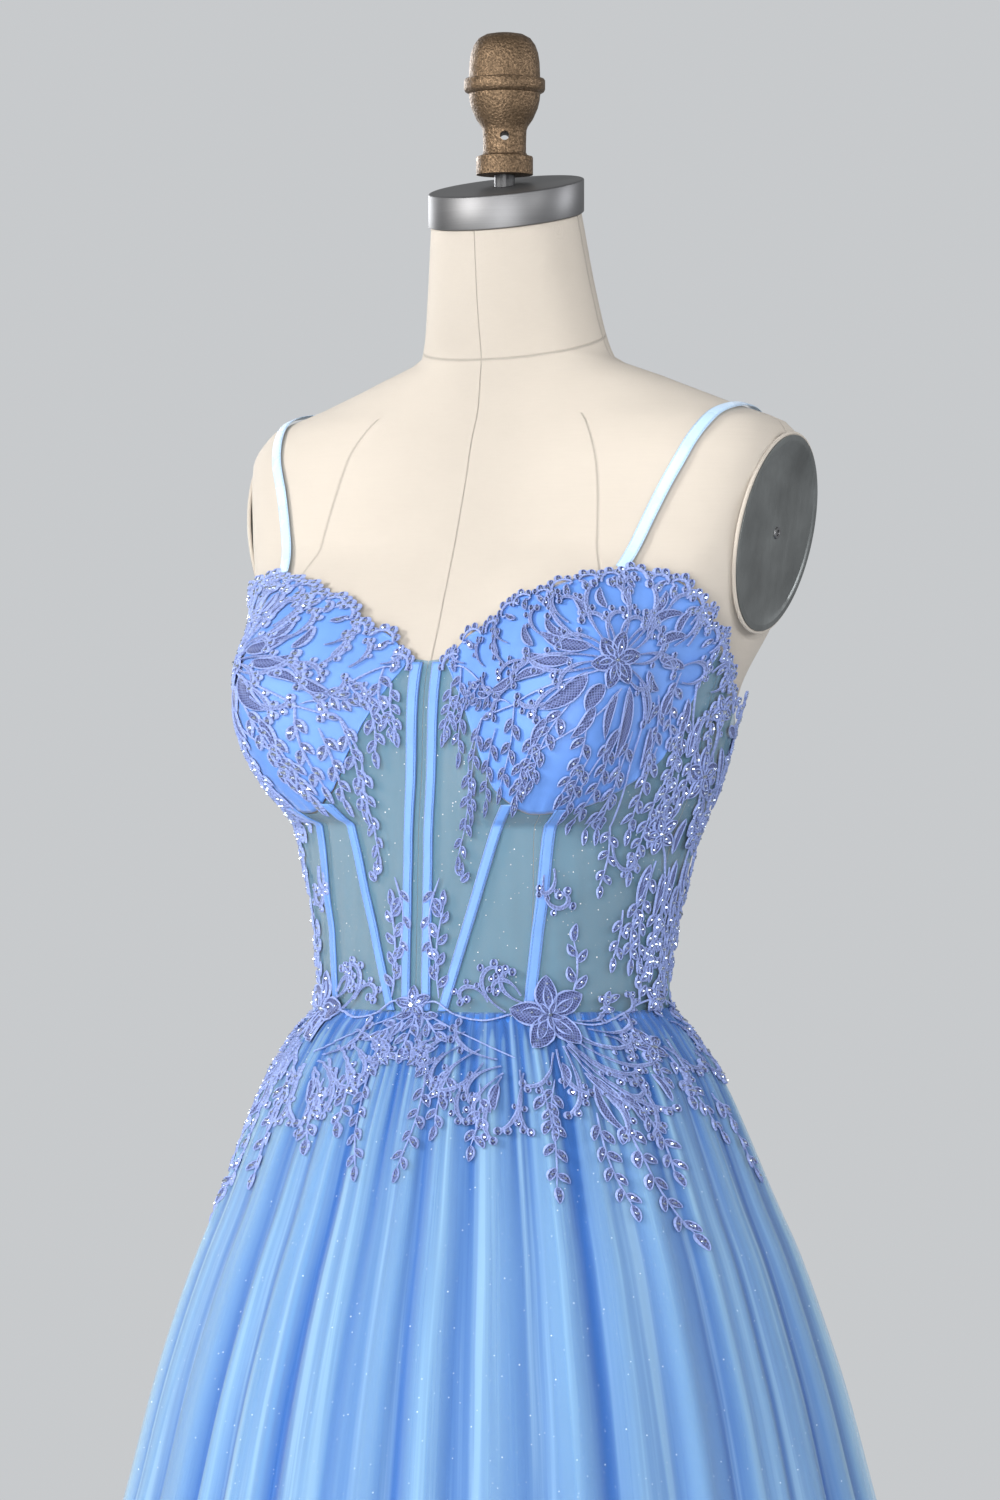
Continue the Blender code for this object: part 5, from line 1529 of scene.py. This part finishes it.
    def lobe(self, angle, z, centre, radius, lift):
        """A round lobe with a corded rim, sunk inside, round a stone."""
        turn = np.linspace(0.0, math.pi, 7)
        spine = centre + np.stack((np.zeros(7), -radius * np.cos(turn)), axis=1)
        half = radius * np.sin(turn) + 0.00008
        profile = mirrored((-1.0, THREAD_EDGE, 1.0), (-0.76, THREAD_CREST, 1.0),
                           (-0.50, THREAD_INSIDE, 0.8), (-0.42, THREAD_FILLING, 0.0))
        self.strip(angle, z, spine, half, profile, lift)
        self.stone(angle, z, centre, min(1.15, 0.45 * radius / self.gem), lift)

    def spray(self, row, lift=0.0):
        """A stem with pairs of leaves and one at its tip."""
        ahead, side = heading_axes(math.radians(row.heading))
        t = np.linspace(0.0, 1.0, 3 * row.pairs + 3)
        stem, bow = row.length - row.leaf * 0.9, row.bow * row.length
        spine = ahead * (stem * t)[:, None] + side * (bow * np.sin(math.pi * t))[:, None]
        self.line(row.angle, row.z, spine, self.cord * 0.9, lift)
        for k in range(row.pairs):
            share = (k + 0.7) / (row.pairs + 0.35)
            base = ahead * (stem * share) + side * (bow * math.sin(math.pi * share))
            size = 1.12 - 0.22 * share
            for way in (1, -1):
                swing = way * (36.0 + 7.0 * math.sin(3.1 * k + row.angle + way))
                slip = ahead * (0.0020 * way)
                self.leaf(row.angle, row.z, row.heading + swing, row.leaf * size,
                          row.leaf * 0.27 * size, 0.08 * way, True, base + slip, lift)
        self.leaf(row.angle, row.z, row.heading + 10.0 * row.bow, row.leaf * 1.1,
                  row.leaf * 0.25, 0.05, True, spine[-1], lift)

    def bloom(self, row, lift):
        """A flower of broad pointed petals round a stone, with smaller ones inside it."""
        def petal(heading, length, half_width, bend, start, rise, rows=9):
            self.leaf(row.angle, row.z, heading, length, half_width, bend, False, start,
                      lift + rise, rows)

        for k in range(row.petals):
            heading = row.turn + 360.0 * k / row.petals + 6.0 * math.sin(2.0 * k)
            start = heading_axes(math.radians(heading))[0]
            length = row.petal * (1.0 + 0.08 * math.sin(1.7 * k))
            petal(heading, length, row.petal * 0.34, 0.04, start * row.petal * 0.10, 0.0003, 11)
            petal(heading + 4.0, length * 0.62, row.petal * 0.15, -0.04,
                  start * row.petal * 0.18, 0.0007)
            self.stone(row.angle, row.z, start * length * 0.86, 0.9, lift + 0.0003)
            self.stone(row.angle, row.z, start * length * 0.48, 0.8, lift + 0.0007)
            petal(heading + 180.0 / row.petals, row.petal * 0.42, row.petal * 0.10, 0.0,
                  np.zeros(2), 0.0011, 7)
        self.stone(row.angle, row.z, np.zeros(2), 1.5, lift + 0.0012)

    def vine(self, row):
        """A cord through places on the dress."""
        places = np.array(row.points)
        places = np.concatenate((places[:1], places, places[-1:]))
        t = np.linspace(0.0, 1.0, 9)[:-1, None]
        path = [between(*near, t) for near in zip(places, places[1:], places[2:], places[3:])]
        path = np.concatenate(path + [places[-1:]])
        angle, z = float(path[:, 0].mean()), float(path[:, 1].mean())
        reach, slope = cloth_reach(angle, z)
        local = np.stack((np.radians(path[:, 0] - angle) * reach, (path[:, 1] - z) / slope),
                         axis=1)
        self.line(angle, z, local, self.cord)

    def scallops(self, first, last):
        """The neckline's uneven edge: arched cords that carry stone-set lobes."""
        angle, k = first, 0
        while angle < last:
            size = 0.0072 + 0.0014 * math.sin(2.3 * k)
            z = float(neckline_at(np.array(angle)))
            reach, slope = cloth_reach(angle, z)
            rise = float(neckline_at(np.array(angle + 1.5)) - neckline_at(np.array(angle - 1.5)))
            ahead = np.array((reach * math.radians(3.0), rise / slope))
            step = np.linalg.norm(ahead)
            ahead /= step
            up = np.array((-ahead[1], ahead[0]))
            drop = -0.0066 + 0.0012 * math.sin(1.3 * k)
            way = 1 if k % 2 else -1
            t = np.linspace(0.0, 2.6, 12)
            arc = (ahead * (way * np.cos(t) * size)[:, None]
                   + up * (np.sin(t) * size + drop)[:, None])
            self.line(angle, z, arc, self.cord * 1.7)
            for turn, grow in ((0.35, 0.9), (1.0, 1.1), (1.65, 1.15), (2.3, 0.95)):
                centre = (ahead * (way * math.cos(turn) * (size + 0.0016))
                          + up * (math.sin(turn) * (size + 0.0016) + drop))
                self.lobe(angle, z, centre, 0.0026 * grow, 0.0001)
            hook = arc[-1] + (ahead * (way * 0.0028) - up * 0.0026)
            bent = arc[-1] * 0.5 + hook * 0.5 - ahead * way * 0.0012
            self.line(angle, z, np.array([arc[-1], bent, hook]), self.cord * 1.5)
            upward = math.degrees(math.atan2(up[1], up[0]))
            self.leaf(angle, z, upward + 20 * way, 0.0100, 0.0022, 0.1, True,
                      up * (drop - 0.006), 0.0)
            angle += 3.0 * (2 * size + 0.0016) / step
            k += 1

    def sewn(self, name, thread, stones, nodes, rests_on):
        """Lays the flat lace on the dress and makes its two pieces."""
        self.set_aside()
        for kind, full_name, material, stood_for in (
                ("thread", name, thread, nodes), ("stones", name + "_stones", stones, ())):
            bm = bmesh.new()
            for mesh in self.finished[kind]:
                bm.from_mesh(mesh)
                bpy.data.meshes.remove(mesh)
            if self.sign < 0:
                bmesh.ops.reverse_faces(bm, faces=bm.faces)
            mesh = turned_to_mesh(bm, full_name)
            move_points(mesh, on_skin(*points_of(mesh).T))
            if kind == "thread":
                mesh.shade_smooth()
            else:
                mesh.shade_flat()
            standing(full_name, mesh, material, stood_for)


class PROMDRESS_OT_lace(bpy.types.Operator):
    """Sew on the corded lace: blooms, leaves, scrolls and sprays with foiled stones"""
    bl_idname = "promdress.lace"
    bl_label = "Beaded lace"

    def execute(self, context):
        colours, sizes = context.scene.prom_dress_colours, context.scene.prom_dress_sizes
        thread, stones = lace_finish(colours), gem_finish(colours)
        groups = (
            ("cup_lace", CUP_BLOOMS, CUP_LEAVES, CUP_SCROLLS + RING_SCROLLS, CUP_SPRAYS,
             CUP_VINES, ("cup_flower", "hanging_spray", "side_spray"), "cup_satin"),
            ("side_lace", SIDE_BLOOMS, SIDE_LEAVES, SIDE_SCROLLS, SIDE_SPRAYS, SIDE_VINES,
             ("side_flower", "back_spray"), "side_panel_net"),
            ("waist_lace", WAIST_BLOOMS, (), WAIST_SCROLLS, WAIST_SPRAYS, WAIST_VINES,
             ("waist_flower", "waist_scroll", "waist_side_flower"), "front_panel_net"),
            ("skirt_lace", (), SKIRT_LEAVES, SKIRT_FAN, SKIRT_SPRAYS, (),
             tuple("skirt_spray_%d" % k for k in range(1, 6)), None),
        )
        for side, sign in (("left", 1), ("right", -1)):
            for name, blooms, leaves, scrolls, sprays, vines, nodes, on in groups:
                lace = Embroidery(sign, sizes.cord_radius, sizes.gem_radius)
                for row in vines:
                    lace.vine(row)
                for row in sprays:
                    lace.spray(row)
                for row in scrolls:
                    lace.scroll(row, 0.0001)
                for row in leaves:
                    lace.leaf(*row, False, lift=0.0002)
                for row in blooms:
                    lace.bloom(row, 0.0004)
                if name == "cup_lace":
                    lace.scallops(8.5, 100.0)
                lace.sewn(name + "_" + side, thread, stones,
                          tuple(n + "_" + side for n in nodes),
                          [on + "_" + side if on else "outer_tulle_front"])
        lace = Embroidery(1, sizes.cord_radius, sizes.gem_radius)
        lace.bloom(BloomRow(0.0, 1.092, 0.0110, 5, 90.0), 0.0004)
        for heading in (215.0, 270.0, 325.0):
            lace.spray(SprayRow(0.0, 1.088, heading, 0.030, 2, 0.0090, 0.05))
        lace.sewn("centre_lace", thread, stones, ("waist_centre_flower",), ["outer_tulle_front"])
        return {"FINISHED"}


# ---------------------------------------------------------------- the studio

class PROMDRESS_OT_studio(bpy.types.Operator):
    """Set the stage: a pale floor, soft studio light and the camera"""
    bl_idname = "promdress.studio"
    bl_label = "Studio and camera"

    def execute(self, context):
        scene = context.scene
        self.backdrop(scene)
        floor = Finish("pale_floor", (0.42, 0.43, 0.44), 0.9)
        floor.feed("Base Color", floor.blend(floor.mottle(3.0, 0.8), (0.41, 0.42, 0.43),
                                             (0.45, 0.46, 0.47)))
        bm = bmesh.new()
        bmesh.ops.create_circle(bm, cap_ends=True, segments=96, radius=FLOOR_RADIUS)
        bmesh.ops.translate(bm, vec=(0.0, 0.0, FLOOR_Z), verts=bm.verts)
        mesh = turned_to_mesh(bm, "studio_floor")
        mesh.materials.append(floor.material)
        ground = bpy.data.objects.new("studio_floor", mesh)
        scene.collection.objects.link(ground)
        for row in LIGHTS:
            data = bpy.data.lights.new(row.name, "AREA")
            data.shape, data.size = "DISK", row.size
            data.energy, data.color = row.power, row.colour
            lamp = bpy.data.objects.new(row.name, data)
            scene.collection.objects.link(lamp)
            lamp.location = row.place
            aim = LIGHTS_AIM - Vector(row.place)
            lamp.rotation_euler = aim.to_track_quat("-Z", "Y").to_euler()
        data = bpy.data.cameras.new("camera")
        data.sensor_width, data.lens = SENSOR_WIDTH, LENS
        camera = bpy.data.objects.new("camera", data)
        scene.collection.objects.link(camera)
        camera.location = (CAMERA_AWAY * math.sin(CAMERA_TURN),
                           -CAMERA_AWAY * math.cos(CAMERA_TURN), CAMERA_Z)
        camera.rotation_euler = (math.pi / 2, 0.0, CAMERA_TURN)
        scene.camera = camera
        scene.view_settings.view_transform = "Standard"
        return {"FINISHED"}

    def backdrop(self, scene):
        """A grey backdrop for the camera, and pale light from all round for the dress."""
        scene.world = bpy.data.worlds.new("studio_grey")
        scene.world.use_nodes = True
        tree = scene.world.node_tree
        background = tree.nodes["Background"]
        background.inputs["Color"].default_value = (0.575, 0.590, 0.605, 1.0)
        soft = tree.nodes.new("ShaderNodeBackground")
        soft.inputs["Color"].default_value = (0.96, 0.98, 1.0, 1.0)
        soft.inputs["Strength"].default_value = 0.34
        seen, pick = tree.nodes.new("ShaderNodeLightPath"), tree.nodes.new("ShaderNodeMixShader")
        tree.links.new(seen.outputs["Is Camera Ray"], pick.inputs["Fac"])
        tree.links.new(soft.outputs["Background"], pick.inputs[1])
        tree.links.new(background.outputs["Background"], pick.inputs[2])
        tree.links.new(pick.outputs["Shader"], tree.nodes["World Output"].inputs["Surface"])


OPERATORS = (PROMDRESS_OT_form, PROMDRESS_OT_neck, PROMDRESS_OT_plates, PROMDRESS_OT_bodice,
             PROMDRESS_OT_straps, PROMDRESS_OT_skirt, PROMDRESS_OT_lace, PROMDRESS_OT_studio)


class PROMDRESS_PT_panel(bpy.types.Panel):
    """Lists the steps that build the dress"""
    bl_idname = "PROMDRESS_PT_panel"
    bl_label = "Prom dress"
    bl_space_type = "VIEW_3D"
    bl_region_type = "UI"
    bl_category = "Prom dress"

    def draw(self, context):
        for operator in OPERATORS:
            self.layout.operator(operator.bl_idname)
        for group in (context.scene.prom_dress_colours, context.scene.prom_dress_sizes):
            box = self.layout.box()
            for label in group.bl_rna.properties.keys():
                if label not in ("rna_type", "name"):
                    box.prop(group, label)


CLASSES = (PromDressColours, PromDressSizes, *OPERATORS, PROMDRESS_PT_panel)


def register():
    for part in CLASSES:
        bpy.utils.register_class(part)
    bpy.types.Scene.prom_dress_colours = bpy.props.PointerProperty(type=PromDressColours)
    bpy.types.Scene.prom_dress_sizes = bpy.props.PointerProperty(type=PromDressSizes)
    for build in (weave_effect, mottle_effect, glitter_effect, line_effect):
        build()


def unregister():
    del bpy.types.Scene.prom_dress_sizes
    del bpy.types.Scene.prom_dress_colours
    for part in reversed(CLASSES):
        bpy.utils.unregister_class(part)


def main():
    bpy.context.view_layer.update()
    register()
    bpy.ops.promdress.form()
    bpy.ops.promdress.neck()
    bpy.ops.promdress.plates()
    bpy.ops.promdress.bodice()
    bpy.ops.promdress.straps()
    bpy.ops.promdress.skirt()
    bpy.ops.promdress.lace()
    bpy.ops.promdress.studio()
    bpy.context.view_layer.update()
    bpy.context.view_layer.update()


if __name__ == "__main__":
    main()
